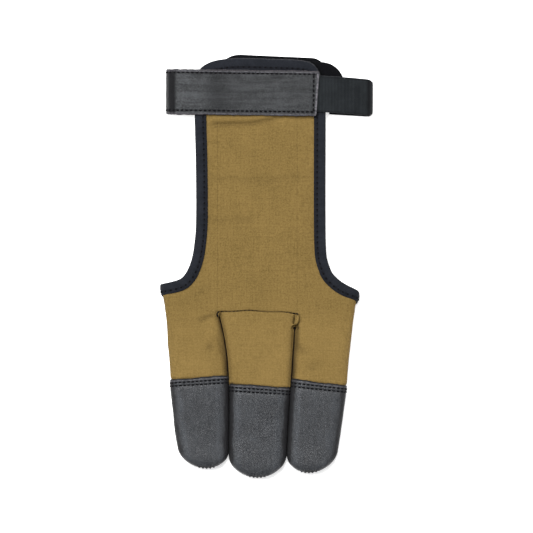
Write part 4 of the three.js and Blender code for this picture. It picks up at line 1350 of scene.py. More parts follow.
# %% Creases and dents
CREASES = [
    ([(-27, 96.4), (-18, 96.8), (-6, 97.0), (0, 98.0), (6, 98.9), (12, 100.6)], 1.1, 1.15),
    ([(-29, 69.0), (-22, 68.4), (-8, 67.6), (8, 67.6), (18, 68.6), (29, 69.0)], 0.34, 1.9),
    ([(-29, 47.6), (-20, 46.2), (-10, 46.6), (0, 47.4)], 0.34, 1.7),
    ([(-29, 87.5), (-20, 86.6), (-10, 87.2)], 0.25, 2.0),
]  # a row of points across the back, depth and half width
DENTS = [
    (-29.4, -4.6, 3.2, 1.3, 0.35, 0.6), (-25.6, -3.1, 3.6, 1.0, 0.2, 0.6), (-25.8, -19.3, 2.4, 2.2, 0.9, 0.6),
    (20.9, -20.5, 3.6, 1.9, -0.5, 0.6), (27.6, -29.5, 3.2, 2.0, 0.3, 0.4), (-31.0, 9.0, 6.0, 1.6, 0.5, 0.25),
    (18.6, -14.5, 1.4, 6.0, 0.0, 0.6), (-20.6, -18.0, 1.3, 7.0, 0.2, 0.45), (18.4, -9.2, 1.3, 1.0, 0.6, 1.1),
    (30.5, 2.0, 2.2, 4.0, 0.4, 0.25),
]  # middle across and along, two sizes, turn and depth


def fabric_folds(points):
    """How far the fabric stands out of its even shape, and its painted shade in creases and dents, from 0 to
    1.
    """
    x, y, z = points[..., 0], points[..., 1], points[..., 2]
    folds = 0.1 * unevenness(points, 21) + 0.04 * unevenness(points + 7, 6.5)
    painted_shade = np.zeros(len(points))
    for row, depth, width in CREASES:
        row_x, row_y = zip(*row)
        away = (y - reader(row_x, row_y)(x)) / width
        ends = smooth((x - row_x[0] + 1) / 5) * smooth((row_x[-1] + 1 - x) / 9)
        valley = np.exp(-np.where(away > 0, away / 0.8, away / 1.3) ** 2)
        folds = folds + depth * ends * (0.55 * np.exp(-(((away - 2.4) / 1.3) ** 2)) - valley)
        painted_shade = painted_shade + 0.3 * depth * ends * valley
    for dent_x, dent_y, long, short, turn, depth in DENTS:
        dx, dy = x - dent_x, y - dent_y
        u, v = dx * math.cos(turn) + dy * math.sin(turn), dy * math.cos(turn) - dx * math.sin(turn)
        dent = np.exp(-((u / long) ** 2) - (v / short) ** 2) * smooth((z - 8) / 2)
        folds = folds - depth * dent
        painted_shade = painted_shade + 0.5 * depth * dent
    return folds, painted_shade


print("creases:", len(CREASES), "dents:", len(DENTS))

# %% [markdown]
# ## Back panel
#
# The three sleeves lie side by side and press on each other, so their sides are moved out below their rounded
# shoulders until they touch. Columns of loops turn down the sides with the fabric. Each point also keeps its
# distance from the line where the sleeves touch, which the fabric's finish paints as the dark line of the
# gap.

# %% Back panel
GAP_SHIFT = (0.45, 0.25)  # how far the gap lies outside the middle finger's outline, left and right
GAP_START = (-2.2, -7.7)  # where it starts below the seam, left and right
FOLD_END = -8.9  # the end of the small fold on the right, where the gap is a wider spot
OUTER_PRESS, MIDDLE_PRESS = 0.6, 0.9


def press_sides(points, normals, finger, amount):
    """Moves the sides of a sleeve out until they touch their neighbour, below their rounded shoulders."""
    x, y, z = points.T
    side = smooth((np.abs(normals[:, 0]) - 0.5) / 0.3) * finger.faces_neighbour(x, y)
    left, right = finger.limits(y)
    edge_here = finger.edge + finger.slant * (x - (left + right) / 2)
    reach = smooth(-y / 2) * smooth((y - edge_here + 1.4) / 1.2) * smooth((10.4 - z) / 2.6)
    more = 1 + 1.8 * smooth((edge_here + 2.6 - y) / 2.5)
    near = (x > left - 1) & (x < right + 1)
    points[:, 0] += np.sign(normals[:, 0]) * amount * more * side * reach * near


def knit_coordinates(points, normals, painted_shade):
    """Columns of loops run along the hand and turn down the sides with the fabric."""
    share = smooth((np.abs(normals[:, 0]) - 0.1) / 0.5)
    sideways = np.sign(normals[:, 0]) * (STALL_HEIGHT - points[:, 2]) * share
    return np.stack([points[:, 0] + 0.6 * sideways, points[:, 1], painted_shade], axis=1)


def gap_distance(points):
    """How far a point is from the line where two sleeves touch, less than zero on the outer sleeves."""
    x, y, z = points.T
    left, right = MIDDLE.limits(y)
    away = np.where(x < 0, x - (left - GAP_SHIFT[0]), right + GAP_SHIFT[1] - x)
    below_start = np.where(x > 0, GAP_START[1], GAP_START[0]) - y
    inside = smooth(below_start / 0.8) * smooth((12.3 - z) / 0.5)
    fold_end = np.exp(-(((y - FOLD_END) / 0.9) ** 2) - (away / 1.7) ** 2) * (x > 0)
    return away / (1 + 2.4 * fold_end) + np.where(away < 0, -6, 6) * (1 - inside)


folds, painted_shade = fabric_folds(skin)
upward = smooth(skin_normals[:, 2] / 0.4)
painted_shade = painted_shade * upward
cloth = knit_coordinates(skin, skin_normals, painted_shade)
skin = skin + skin_normals * (folds * np.where(skin_normals[:, 2] < 0, -1, 1))[:, None]
for finger in (INDEX, RING):
    press_sides(skin, skin_normals, finger, OUTER_PRESS)
back_mesh = mesh_from("back_panel", skin, [np.array(skin_faces)], cloth, gap_distance(skin))
piece("back_panel_fabric", back_mesh, knit.material, ("back_panel",), 60)

# %% [markdown]
# ## The middle sleeve
#
# The middle finger has a sleeve of its own, sewn to the back along a short seam. It bulges a little higher
# than its neighbours. At the left end of the seam its edge curls, and at the right end spare fabric stands up
# in a small puffy fold, like an ear. The sleeve's edge runs a little under the back, as it does in the real
# seam, so that nothing shows through. Ear and curl are sausages, melted into the sleeve.

# %% Middle sleeve
SEAM_OVERLAP = 0.6


def middle_mouth(turn):
    point = wall(MIDDLE, turn, 0, PROUD)
    return np.where(point[..., 2] > STALL_HEIGHT / 2, seam_y(point[..., 0]) + SEAM_OVERLAP, -CLEARANCE / 2)


outer, inner = sleeve_rings(MIDDLE, middle_mouth, 168, 0.6)
body = tube(np.concatenate([outer, inner[::-1]]), looped=True)
ear = sausage(
    [(18.4, -1.5, 11.6), (19.1, -2.8, 12.4), (19.2, -4.7, 12.8), (18.7, -6.5, 12.5), (17.6, -8.0, 11.6)],
    [0.7, 1.2, 1.35, 1.2, 0.7],
)
curl = sausage([(-21.2, -1.3, 11.6), (-21.9, -2.3, 12.1), (-21.1, -3.6, 11.4)], [0.5, 0.6, 0.45])
middle, middle_normals, middle_faces = remesh("middle", [body, ear, curl], 0.45, 3)


def ear_crease(points):
    """The furrow between the ear and the sleeve and the shallow tuck along the seam, then the painted shade
    of the furrow and of the dark spot below the ear.
    """
    x, y, z = points.T
    line = 17.95 + 0.19 * (y + 3.9)
    furrow = np.exp(-(((x - line) / 0.42) ** 2) - (np.maximum(0, np.abs(y + 5.5) - 0.9) / 0.9) ** 2)
    shadow = np.exp(-(((y - FOLD_END) / 0.7) ** 2) - ((x - 17.9) / 1.1) ** 2)
    tuck = smooth((y - seam_y(x) + 0.9) / 0.9)
    high = smooth((z - 9) / 2)
    return (0.12 * furrow + 0.45 * tuck + 0.6 * shadow) * high, (0.15 * furrow + 0.8 * shadow) * high


folds, painted_shade = fabric_folds(middle)
crease, crease_painted_shade = ear_crease(middle)
upward = smooth(middle_normals[:, 2] / 0.4)
painted_shade = painted_shade * upward + crease_painted_shade
cloth = knit_coordinates(middle, middle_normals, painted_shade)
middle = middle + middle_normals * (folds - crease)[:, None]
press_sides(middle, middle_normals, MIDDLE, MIDDLE_PRESS)
middle_mesh = mesh_from("middle_sleeve", middle, [np.array(middle_faces)], cloth, gap_distance(middle))
piece("middle_sleeve_fabric", middle_mesh, knit.material, ("middle_sleeve",), 60)

# %% [markdown]
# ## Edge binding
#
# A tape, folded in half, wraps the whole edge of the back: from the palm side of the index sleeve up the left
# flare, round the wrist end, down the right flare and under the ring sleeve. Its section is a U, swept along
# the outline. One line of stitches near its inner edge holds it, and between two stitches the tape swells a
# little, which gives it its rippled look.

# %% Where the binding runs
BINDING_WIDTH = 6.1
BINDING_PITCH, BINDING_DASH, BINDING_SEW = 2.8, 1.4, 1.75
FOLD_HEIGHT = FABRIC / 2 + TAPE_CLEARANCE
LIP = BINDING_WIDTH - TAPE_REACH


class Edge:
    """The edge of the fabric as a row of stations that place a point by its depth and height."""

    def __init__(self):
        turns = np.linspace(0.61, 0.17, 90)
        self.mouths = [(LEFT, turns), (RIGHT, turns[::-1])]

    def place(self, depth, height):
        depth, height = float(depth), float(height)
        left, right = (
            wall(wing.finger, turns, wing.mouth(turns) - depth, PROUD + FABRIC / 2 - height)
            for wing, turns in self.mouths
        )
        at_wrist = smooth((outline[:, 1] - HAND_LENGTH + 9) / 6)
        depth = depth + at_wrist * (0.3 * smooth((depth - 1) / 2) + 0.8 * smooth((depth - 4.0) / 1.0))
        forward = np.gradient(outline, axis=0)
        forward = unit(np.stack([settle(forward[:, 0], 6), settle(forward[:, 1], 6)], axis=1))
        x = outline[:, 0] + forward[:, 1] * depth
        y = outline[:, 1] - forward[:, 0] * depth
        back = np.stack([x, y, panel_top(x, y) + SHEET_LAP - FABRIC / 2 + height], axis=1)
        return np.vstack([left, back, right])


edge = Edge()
spine = edge.place(0, 0)
spine_lengths = np.append(0, np.cumsum(np.linalg.norm(np.diff(spine, axis=0), axis=1)))
STATIONS = np.linspace(0, spine_lengths[-1], int(spine_lengths[-1] / 0.5))


def along_edge(depth, height, rounds=8):
    """The path at a depth and height, its stations an even step of the spine apart and evened out."""
    path = edge.place(depth, height)
    return np.stack([settle(np.interp(STATIONS, spine_lengths, axis), rounds) for axis in path.T], axis=1)


print("length of the binding:", round(spine_lengths[-1]), "mm")

# %% [markdown]
# ## Section of the folded tape
#
# Cut across, the folded tape is a loop of points: the outer face, the bend round the fabric's edge, the
# other face and back along the inside. A bevelled curve would be quicker, but its section stays the same all
# the way and can't settle onto the fabric at its lip.

# %% Section of the folded tape
def tape_height(depth):
    """The height of the tape's outer face above the middle of the fabric: it settles onto it at its lip."""
    full, low = FOLD_HEIGHT + TAPE, FABRIC / 2 + TAPE + 0.08
    return mix(full, low, float(smooth((depth - (LIP - BINDING_SEW - 1.6)) / 1.4)))


def binding_section():
    """(depth, outer height, ripple share) round the outside, then back along the inside."""
    outside = [(LIP, tape_height(LIP) - 0.12, 0.5), (LIP - 0.25, tape_height(LIP), 0.6)]
    face = (4.3, LIP - BINDING_SEW, 3.2, 2.6, 1.8, 1.0, 0.3)
    outside += [(depth, tape_height(depth), 1.0) for depth in face]
    turn = np.linspace(np.pi / 2, -np.pi / 2, 11)
    full = FOLD_HEIGHT + TAPE
    bend = [(-0.15 - 0.9 * np.cos(a), full * np.sign(np.sin(a)) * abs(np.sin(a)) ** 0.75, 0.9) for a in turn]
    inner = [(LIP, 1.02), (LIP - 1, 1.04), (3, 1.1), (0.5, 1.15), (-0.3, 0.6)]
    loop = outside + bend + [(depth, -height, share) for depth, height, share in outside[::-1]]
    loop += [(depth, -height, 0.0) for depth, height in inner] + [(d, h, 0.0) for d, h in inner[::-1]]
    return loop


section = binding_section()
print("points of the section:", len(section))

# %% [markdown]
# ## Binding
#
# Each point of the section becomes a path along the edge, and the paths together are the grid of the tape.
# Between two stitches the tape swells, and at a stitch it is drawn in. A cloth simulation could pucker it
# too, but it would need far more points and wouldn't put the swellings where the photo shows them.

# %% Binding
FLOOR_CLEARANCE = 0.02  # how far the underside of a band stays above the floor
ripple = 0.5 + 0.5 * np.cos(STATIONS * 2 * np.pi / BINDING_PITCH)
stations_3d = np.stack([STATIONS, STATIONS * 0, STATIONS * 0], axis=1)
wander = unevenness(stations_3d, 11)
columns, painted_shades = [], []
for depth, height, share in section:
    path = along_edge(depth, height)
    away = unit(along_edge(depth, height + np.sign(height or 1) * 0.3) - path)
    at_stitch = np.exp(-(((depth - (LIP - BINDING_SEW)) / 0.45) ** 2)) if depth > 0 else 0
    swell = 0.16 * ripple * share - 0.26 * at_stitch * share * (1.2 - ripple) + 0.1 * wander * share
    columns.append(path + away * swell[:, None])
    # Painted shade where a stitch draws the tape in, and the strip between the stitches and the lip a little
    # darker.
    painted_shades.append(0.9 * at_stitch * (1 - 0.7 * ripple) + 0.4 * (depth > LIP - BINDING_SEW))
grid = np.array(columns).transpose(1, 0, 2)
points, faces = tube(grid, (grid[0].mean(axis=0), grid[-1].mean(axis=0)))
widths = np.append(0, np.cumsum(np.abs(np.diff(section, axis=0)).sum(axis=1)))
painted_shade = np.array([np.broadcast_to(h, len(STATIONS)) for h in painted_shades]).T
cloth = np.stack(np.broadcast_arrays(STATIONS[:, None], widths[None, :], painted_shade), axis=-1).reshape(-1, 3)
cloth = np.vstack([cloth, [[0, 0, 0], [0, 0, 0]]])
points[:, 2] = np.maximum(points[:, 2], FLOOR_CLEARANCE)
binding_mesh = mesh_from("binding", points, faces, cloth)
piece("binding_tape", binding_mesh, binding_cloth, ("edge_binding",), 60)

# %% [markdown]
# ## Stitches of the binding
#
# One line of thread runs along the tape, near its lip, and goes through both faces, so it shows above and
# below. Both rows follow the same stations as the tape, a little sunk into its ripples.

# %% Stitches of the binding
BINDING_THREAD = 0.42
sewn_depth = LIP - BINDING_SEW
rows = []
for side in (1, -1):
    height = side * (tape_height(sewn_depth) - 0.12)
    path = along_edge(sewn_depth, height)
    rows.append((path, unit(along_edge(sewn_depth, height + side * 0.3) - path)))
points, faces = sew(rows, BINDING_PITCH, BINDING_DASH, BINDING_THREAD, THREAD_LIFT)
piece("binding_stitches", mesh_from("stitches", points, faces), thread_black)

# %% [markdown]
# ## Seam of the middle sleeve
#
# The sleeve's edge is tucked under the back and sewn through. Only a thin dark line shows on the outside, so
# the stitches are fine and pressed into the furrow between the two fabrics. At both ends the thread is sewn
# back on itself and shows as a small knot, a sausage that follows the turned fabric.

# %% Seam and its knots
SEAM_ENDS = (-20.6, 18.6)
seam_x = np.linspace(*SEAM_ENDS, 120)
seam_path = np.stack([seam_x, seam_y(seam_x) - 0.12, panel_top(seam_x, seam_y(seam_x)) - 0.42], axis=1)
seam_up = np.tile([0.0, 0.0, 1.0], (len(seam_x), 1))
points, faces = sew([(seam_path, seam_up)], pitch=1.9, dash=1.3, radius=0.13, lift=0.6)
piece("seam_stitches", mesh_from("stitches", points, faces), thread_black)

KNOTS = {
    "left": [
        (-21.2, -0.5, 0.2), (-21.9, -1.0, 0.3), (-22.4, -1.9, 0.4), (-22.1, -2.7, 0.38), (-21.7, -3.5, 0.2),
    ],
    "right": [(18.8, -1.5, 0.2), (19.3, -1.7, 0.42), (19.6, -2.2, 0.3)],
}  # across, along and radius
for side, rows in KNOTS.items():
    spots = np.array(rows)
    heights = panel_top(spots[:, 0], spots[:, 1]) + 0.1
    points, faces = sausage(np.column_stack([spots[:, :2], heights]), spots[:, 2])
    piece(f"seam_knot_{side}", mesh_from("knot", points, faces), thread_black)

# %% [markdown]
# ## Bands
#
# Strap, elastic and tabs are flat bands that follow a path seen from the wrist. A band's section is a flat
# loop with round edges, and its two ends are closed by joining the upper points to the lower ones. The cloth
# coordinates run along and across the band, also round its fold.

# %% Band
RIM_ROUND = 0.6  # how far in from its rim a band is rounded


def band_grid(path, width, thickness, centre_y, across, outer=1, skew=0.0, round_ends=(0.0, 0.0)):
    """Rings of a band. across lists shares of the half width for one face, from one edge to the other."""
    x, z = path.T
    lengths = np.append(0, np.cumsum(np.linalg.norm(np.diff(path, axis=0), axis=1)))
    tangent = unit(np.gradient(path, axis=0))
    normal = np.stack([-tangent[:, 1], np.zeros(len(path)), tangent[:, 0]], axis=1) * outer
    half = np.full(len(path), width / 2)
    for corner, distance in zip(round_ends, (lengths, lengths[-1] - lengths)):
        if corner:
            half -= corner - np.sqrt(np.maximum(corner**2 - np.clip(corner - distance, 0, corner) ** 2, 0))
    across = np.asarray(across)
    near_rim = np.clip((np.abs(across) * width / 2 - width / 2 + RIM_ROUND) / RIM_ROUND, 0, 1)
    thin = thickness / 2 * np.sqrt(np.clip(1 - near_rim**2, 0, 1))
    sides = np.concatenate([across, across[::-1]])
    levels = np.concatenate([thin, -thin[::-1]])
    slip = sides * skew / 2 * np.exp(-lengths[:, None] / 6)
    reach = sides * half[:, None]
    spots = (x[:, None] + slip, centre_y(x, z)[:, None] + reach, z[:, None])
    middle = np.stack(np.broadcast_arrays(*spots), axis=-1)
    grid = middle + normal[:, None] * levels[:, None]
    cloth = np.stack(np.broadcast_arrays(lengths[:, None], reach, np.sign(levels)), axis=-1)
    return grid, normal, cloth


def band_faces(rows, columns):
    """The skin of a band and its two ends."""
    faces = [grid_faces(rows, columns)]
    k = np.arange(columns // 2 - 1)
    end = np.stack([k, k + 1, columns - 2 - k, columns - 1 - k], axis=1)
    faces += [end, end[:, ::-1] + (rows - 1) * columns]
    return faces


def edge_shares(half_width, middle):
    """Shares of a half width, close together at the edges and evenly spaced between them."""
    edge_steps = half_width - RIM_ROUND * (1 - np.cos(np.linspace(0, np.pi / 2, 5)))
    outer_side = edge_steps / half_width
    inside = np.linspace(-outer_side[-1], outer_side[-1], middle)[1:-1]
    return np.concatenate([-outer_side, inside, outer_side[::-1]])


print("points across a band:", len(edge_shares(10, 20)))

# %% [markdown]
# ## Where the strap runs
#
# The strap is a piece of the same leather, cut straight. It crosses the back of the wrist, folds round at the
# left and comes back on the palm side. At its right end it climbs over the elastic that is sewn under it. Its
# path is drawn from the side, through a few points between the levels of the layers below.

# %% Where the strap runs
STRAP_WIDTH, STRAP_FRONT, STRAP_RETURN, STRAP_SETBACK = 23.6, 79.9, 47.1, 16.8
STRAP_SLOPE, STRAP_SKEW, STRAP_FOLD, HOOK_UNDERLAP = -0.0144, 1.6, 5, 17
ELASTIC_WIDTH, ELASTIC_OVERHANG, ELASTIC_TUCK, ELASTIC_GAP = 19, 25.5, 11, 1.7
ELASTIC_SLOPE, ELASTIC_SLIP = -0.06, 0.8

strap_left = TONGUE_SHIFT - TONGUE_WIDTH / 2 - 16.6
strap_end = strap_left + STRAP_FRONT
return_end = strap_left + STRAP_RETURN
hook_left = return_end - HOOK_UNDERLAP


def strap_y(x):
    return HAND_LENGTH - STRAP_SETBACK + STRAP_SLOPE * (x - strap_left)


def ramp(start, stop):
    share = np.linspace(0, 1, 7)
    return [(mix(start[0], stop[0], s), mix(start[1], stop[1], float(smooth(s)))) for s in share]


def strap_path():
    high, low, lift = STRAP_LEVEL + LEATHER / 2, LEATHER / 2, ELASTIC + CLEARANCE
    fold_x = strap_left + STRAP_FOLD
    bend = [
        (
            fold_x - (STRAP_FOLD - LEATHER / 2) * math.sin((k + 1) * math.pi / 6),
            (high + low) / 2 + (high - low) / 2 * math.cos((k + 1) * math.pi / 6),
        )
        for k in range(5)
    ]
    points = [(strap_end - STRAP_SKEW / 2, high + lift), (strap_end - ELASTIC_TUCK / 2, high + lift)]
    points += ramp((strap_end - ELASTIC_TUCK - CLEARANCE, high + lift), (strap_end - 3 * ELASTIC_TUCK, high))
    points += [(mix(fold_x, strap_end, 0.4), high), (mix(fold_x, strap_end, 0.2), high)]
    points += [(fold_x + CLEARANCE, high), *bend, (fold_x + CLEARANCE, low)]
    points += ramp((fold_x + STRAP_FOLD / 2, low), (hook_left - CLEARANCE, STRAP_BACK + low))
    points += [((hook_left + return_end) / 2, STRAP_BACK + low), (return_end, STRAP_BACK + low)]
    path = through(points, 0.45)
    path[:, 1] = np.maximum(path[:, 1], low)
    return path


strap_line = strap_path()
print("points along the strap:", len(strap_line))

# %% [markdown]
# ## Relief of the strap
#
# Three of the strap's edges are sewn close to the cut. Thread pulls the leather in, so the strap puckers
# along its rows, the fold at the left has a crest with a hollow behind it, and the whole face is gently
# wavy. All of it is one relief, added along the band's normals. A displacement texture would blur the short
# puckers.

# %% Relief of the strap
STRAP_PITCH = 2.4
STRAP_CORNER = 1.2
STRAP_ROWS = (1.75, 2.2)  # how far the rows lie from the upper and the lower edge


def waves_along(length, side, size):
    return unevenness(np.stack([length, side, side * 0], axis=-1), size)


across = edge_shares(STRAP_WIDTH / 2, 48)
corners = (STRAP_CORNER, STRAP_CORNER)
grid, normal, cloth = band_grid(
    strap_line, STRAP_WIDTH, LEATHER, lambda x, z: strap_y(x), across, -1, STRAP_SKEW, corners
)
length, side, face = cloth[..., 0], cloth[..., 1], cloth[..., 2]
top_row, low_row = STRAP_WIDTH / 2 - STRAP_ROWS[0], -STRAP_WIDTH / 2 + STRAP_ROWS[1]
pucker = 0.5 + 0.5 * np.cos(length * 2 * np.pi / STRAP_PITCH)
furrow = np.exp(-(((side - top_row) / 0.5) ** 2)) + np.exp(-(((side - low_row) / 0.5) ** 2))
furrow = furrow + np.exp(-(((length - 2.4) / 0.5) ** 2))
folds = 0.12 * unevenness(grid * np.array([0.6, 1, 1]), 17) + 0.05 * unevenness(grid, 4.6)
from_fold = grid[..., 0] - strap_left
crest = 0.08 * np.exp(-(((from_fold - 1.0) / 0.8) ** 2)) - 0.8 * np.exp(-(((from_fold - 3.3) / 1.2) ** 2))
pulls = 0.3 * smooth(waves_along(length, side * 0, 9) * 1.5)
pulls = pulls * np.exp(-(((side - top_row + 1.6) / 1.3) ** 2))
upper = grid[..., 2] > STRAP_LEVEL - 1
relief = folds * face - 0.24 * furrow * face * (1 - 0.4 * pucker) + (crest - pulls) * upper
grid = grid + normal[:, None] * relief[..., None]
print("deepest and highest point of the relief:", relief.min().round(2), relief.max().round(2), "mm")

# %% [markdown]
# ## Wrist strap
#
# The fold turns away from the lamps and shows as a dark band, painted into the leather, with a painted
# highlight on the hide next to it. The rows, the pulls beside them and the cut edges get painted shade too,
# and a soft patch further along the face is a little darker. Each cut is a little frayed and shows its raw
# fibres, so the faces along the rims get the finish of the raw edge.

# %% Wrist strap
# Painted shade at the fold, in the rows, beside the pulls and at the cuts, a darker patch on the face, and a
# painted highlight beside the fold.
wander = 0.35 * waves_along(length * 0, side, 8)
turned_away = np.exp(-(((from_fold - 3.0 + wander) / 1.8) ** 4)) * upper
at_fold = 1.1 * turned_away + 0.55 * smooth((2.0 - from_fold) / 1.0)
at_rows = 0.75 * furrow * (1 - 0.4 * pucker) + 1.6 * pulls * upper
on_face = 0.35 * np.exp(-(((from_fold - 27) / 7) ** 2)) * upper
at_cut = 0.7 * smooth((0.5 - np.abs(np.abs(side) - STRAP_WIDTH / 2)) / 0.2)
painted_highlight = 0.6 * smooth((26 - from_fold) / 16) * smooth((from_fold - 4.5) / 2) * upper * (1 - furrow)
cloth[..., 2] = at_fold + at_rows + on_face + at_cut - painted_highlight
frayed = 0.16 * waves_along(length, side * 0, 5.5) + 0.09 * waves_along(length, side, 1.7)
grid[..., 1] += np.sign(side) * frayed * smooth((np.abs(side) - STRAP_WIDTH / 2 + 1.5) / 1.2)
grid[..., 2] = np.maximum(grid[..., 2], FLOOR_CLEARANCE)
strap_grid, strap_sides, strap_normal = grid, side, normal
rows, columns = grid.shape[:2]
strap_mesh = mesh_from("strap", grid.reshape(-1, 3), band_faces(rows, columns), cloth.reshape(-1, 3))
piece("strap_leather_band", strap_mesh, strap_leather, ("wrist_strap",), 60)
strap_mesh.materials.append(raw_edge)
half = columns // 2
is_cut = np.zeros((rows - 1, columns), np.int32)
is_cut[:, :3] = 1
is_cut[:, half - 4 : half + 3] = 1
is_cut[:, -4:] = 1
both_ends = np.ones(2 * (half - 1), np.int32)
strap_mesh.polygons.foreach_set("material_index", np.concatenate([is_cut.ravel(), both_ends]))

# %% [markdown]
# ## Stitches of the strap
#
# Two rows run along the strap and one crosses its right end. They have to follow the puckered leather, so the
# points of a row are read off the strap's own grid, at a length along it and a distance across it.

# %% Stitches of the strap
STRAP_DASH, STRAP_THREAD = 1.75, 0.38
END_ROW, END_SLANT = 2.3, 1.1  # how far the row across the end lies from it, and how much it slants
lengths = np.append(0, np.cumsum(np.linalg.norm(np.diff(strap_line, axis=0), axis=1)))
fold_at = lengths[np.argmin(strap_line[:, 0])]


def on_strap(places, sides, face):
    """Points of the strap's surface at lengths along it and distances across it, with normals."""
    columns = slice(0, half) if face > 0 else slice(2 * half - 1, half - 1, -1)
    row = np.interp(places, lengths, np.arange(len(lengths)))
    low_index = np.minimum(row.astype(int), len(lengths) - 2)
    points = []
    for index in (low_index, low_index + 1):
        ring, spots = strap_grid[index][:, columns], strap_sides[index][:, columns]
        points.append([[np.interp(s, sp, r[:, k]) for k in range(3)] for s, sp, r in zip(sides, spots, ring)])
    share = (row - low_index)[:, None]
    up = unit(np.stack([np.interp(places, lengths, strap_normal[:, k]) for k in range(3)], axis=1)) * face
    return mix(np.array(points[0]), np.array(points[1]), share), up


def strap_row(side_mm, start, stop, face):
    places = np.linspace(start, stop, int((stop - start) / 0.4))
    return on_strap(places, np.full(len(places), side_mm), face)


rows = [strap_row(side_mm, 1.5, lengths[-1] - 3, 1) for side_mm in (top_row, low_row)]
rows += [strap_row(side_mm, 1.5, fold_at - 3, -1) for side_mm in (top_row, low_row)]
end_sides = np.linspace(low_row, top_row, 60)
rows.append(on_strap(END_ROW + end_sides / STRAP_WIDTH * END_SLANT, end_sides, 1))
points, faces = sew(rows, STRAP_PITCH, STRAP_DASH, STRAP_THREAD, THREAD_LIFT)
piece("strap_stitches", mesh_from("stitches", points, faces), thread_black)

# %% [markdown]
# ## Where the elastic runs
#
# The elastic is sewn under the strap's right end, bends down beside the wrist and comes back on the palm
# side. Its bend isn't round: it hangs, so the lower half is the tighter one. A table of measured shares keeps
# that shape when the wrist's height changes, which a fixed curve wouldn't.

# %% Where the elastic runs
ELASTIC_BEND = [
    (0.07, 1), (0.2, 0.985), (0.36, 0.93), (0.62, 0.79), (0.84, 0.61), (0.95, 0.42), (0.975, 0.25),
    (0.92, 0.07), (0.8, 0), (0.7, 0),
]  # (out, up) as shares of the overhang and of the height
HOOK_LENGTH = 53.1

high, low = STRAP_LEVEL + ELASTIC / 2, ELASTIC / 2
points = [(strap_end - ELASTIC_TUCK, high), (strap_end - ELASTIC_TUCK / 2, high), (strap_end, high)]
wrist_side = TONGUE_SHIFT + TONGUE_WIDTH / 2
points += [(wrist_side + out * ELASTIC_OVERHANG, mix(low, high, up)) for out, up in ELASTIC_BEND]
points += [(hook_left + HOOK_LENGTH + ELASTIC_GAP, low)]
elastic_path = through(points, 0.14)
elastic_path[:, 1] = np.maximum(elastic_path[:, 1], low)


def elastic_y(x, z):
    return strap_y(strap_end) + ELASTIC_SLOPE * (x - strap_end) - ELASTIC_SLIP * (1 - z / high)


print("points along the elastic:", len(elastic_path))

# %% [markdown]
# ## Elastic
#
# Rubber threads inside the elastic draw it into fine ribs across its length, two thirds of a millimetre
# apart. A bump would show them on the face alone, so they are real ridges here, and the outline shows them
# too. The band narrows a little in its fold, and its rims stay flat.

# %% Elastic
RIB = 0.66
across = edge_shares(ELASTIC_WIDTH / 2, 26)
grid, normal, cloth = band_grid(elastic_path, ELASTIC_WIDTH, ELASTIC, elastic_y, across)
length, side, face = cloth[..., 0], cloth[..., 1], cloth[..., 2]
shaken = length + 0.12 * waves_along(length, side, 7)
ribs = np.abs(np.sin(shaken * np.pi / RIB)) ** 0.7
before_fold = elastic_path[:, 0].max() - grid[..., 0]
past = np.clip((2.0 - before_fold) / 2.0, 0, 1)
grid[..., 1] -= np.sign(side) * smooth((np.abs(side) - 5) / 4) * 1.1 * (1 - np.sqrt(1 - past**2 * 0.98))
sag = 0.1 * waves_along(length, side * 0.4, 12)
off_rims = 1 - smooth((np.abs(side) - ELASTIC_WIDTH / 2 + 0.9) / 0.5)
relief = (0.13 * ribs - 0.06) * face * off_rims + sag * face
grid = grid + normal[:, None] * relief[..., None]
grid[..., 2] = np.maximum(grid[..., 2], FLOOR_CLEARANCE)
before_fold = elastic_path[:, 0].max() - grid[..., 0]
# Painted shade in the fold and between the ribs, and the rims a little darker.
at_fold = np.exp(-(((before_fold - 1.2) / 0.9) ** 2)) * (grid[..., 2] > 3)
at_rims = 0.5 * np.exp(-(((np.abs(side) - ELASTIC_WIDTH / 2 + 0.7) / 0.35) ** 2))
cloth[..., 2] = at_fold + at_rims + 0.6 * (1 - ribs)
rows, columns = grid.shape[:2]
elastic_mesh = mesh_from("elastic", grid.reshape(-1, 3), band_faces(rows, columns), cloth.reshape(-1, 3))
piece("elastic_webbing", elastic_mesh, elastic_cloth, ("elastic_band",), 60)

# %% [markdown]
# ## Hook-and-loop tabs
#
# Behind the wrist two black tabs press together, one sewn to the strap and one to the elastic. A tab is a
# flat piece with round corners whose fuzzy face stands out unevenly. Only their upper edges show from above.
# Each one is a grid whose rows grow shorter in the corners, closed by the same faces as a band.

# %% Tabs
TAB_GRID = (110, 64)
TAB_SLOPE = -0.045
HOOK_TAIL = 4.4  # how much further the hook tab's pad runs under the strap than its solid


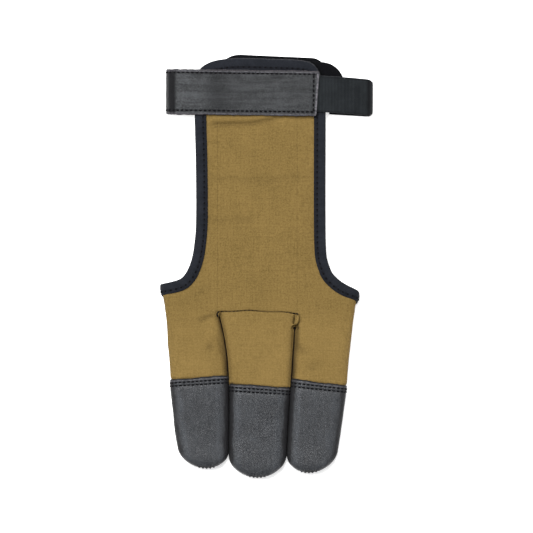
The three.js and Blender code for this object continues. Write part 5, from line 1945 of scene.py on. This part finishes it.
def tab(name, node, length, width, corners, left, centre_y, bottom, slope):
    rows, columns = TAB_GRID
    along = np.linspace(-1, 1, rows)
    along = np.sign(along) * (1 - (1 - np.abs(along)) ** 1.35) * length / 2
    corner = np.where(along < 0, *corners)
    room = np.clip(np.abs(along) - (length / 2 - corner), 0, corner)
    half = width / 2 - corner + np.sqrt(np.maximum(corner**2 - room**2, 0))
    half = np.maximum(half, 0.4)
    shares = np.linspace(-1, 1, columns)
    shares = np.sign(shares) * (1 - (1 - np.abs(shares)) ** 1.3)
    x = np.repeat(along[:, None], columns, axis=1)
    y = shares[None, :] * half[:, None]
    inward = np.minimum(half[:, None] - np.abs(y), length / 2 - np.abs(x))
    edge_drop = 0.35 * np.exp(-inward / 0.35)
    spots = np.stack([x, y, x * 0], axis=-1)
    fuzz = 0.09 * unevenness(spots, 1.3) + 0.07 * unevenness(spots + 3, 2.9)
    cos, sin = math.cos(math.atan(slope)), math.sin(math.atan(slope))
    px, py = left + length / 2 + x * cos - y * sin, centre_y + x * sin + y * cos
    top = np.stack([px, py, bottom + TAB - edge_drop - 0.1 + fuzz], axis=-1)
    under = np.stack([px, py, bottom + edge_drop + FLOOR_CLEARANCE], axis=-1)
    grid = np.concatenate([top, under[:, ::-1]], axis=1)
    points, faces = grid.reshape(-1, 3), band_faces(rows, 2 * columns)
    cloth = np.concatenate([spots, spots[:, ::-1]], axis=1).reshape(-1, 3)
    piece(name, mesh_from(name, points, faces, cloth), tab_fuzz, (node,), 60)


tab(
    "hook_tab_pad",
    "hook_tab",
    length=HOOK_LENGTH + HOOK_TAIL,
    width=26.4,
    corners=(12.6, 8),
    left=hook_left - HOOK_TAIL,
    centre_y=HAND_LENGTH - 11.3,
    bottom=0,
    slope=TAB_SLOPE,
)
tab(
    "loop_tab_pad",
    "loop_tab",
    length=45,
    width=25.6,
    corners=(12, 12),
    left=return_end + 2 * CLEARANCE,
    centre_y=HAND_LENGTH - 13.6,
    bottom=ELASTIC + CLEARANCE,
    slope=TAB_SLOPE,
)

# %% [markdown]
# ## Size
#
# The finished model must stay as big as the measured solids. Both boxes are written out as plain numbers so
# that they can be compared.

# %% Size
low, high = cad_box
model_low, model_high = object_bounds()
sizes = {
    "cad": [list(map(float, low)), list(map(float, high))],
    "model": [list(map(float, model_low)), list(map(float, model_high))],
}
for name, (a, b) in sizes.items():
    print(name, [round(v * 1000, 2) for v in a], [round(v * 1000, 2) for v in b])

# %% [markdown]
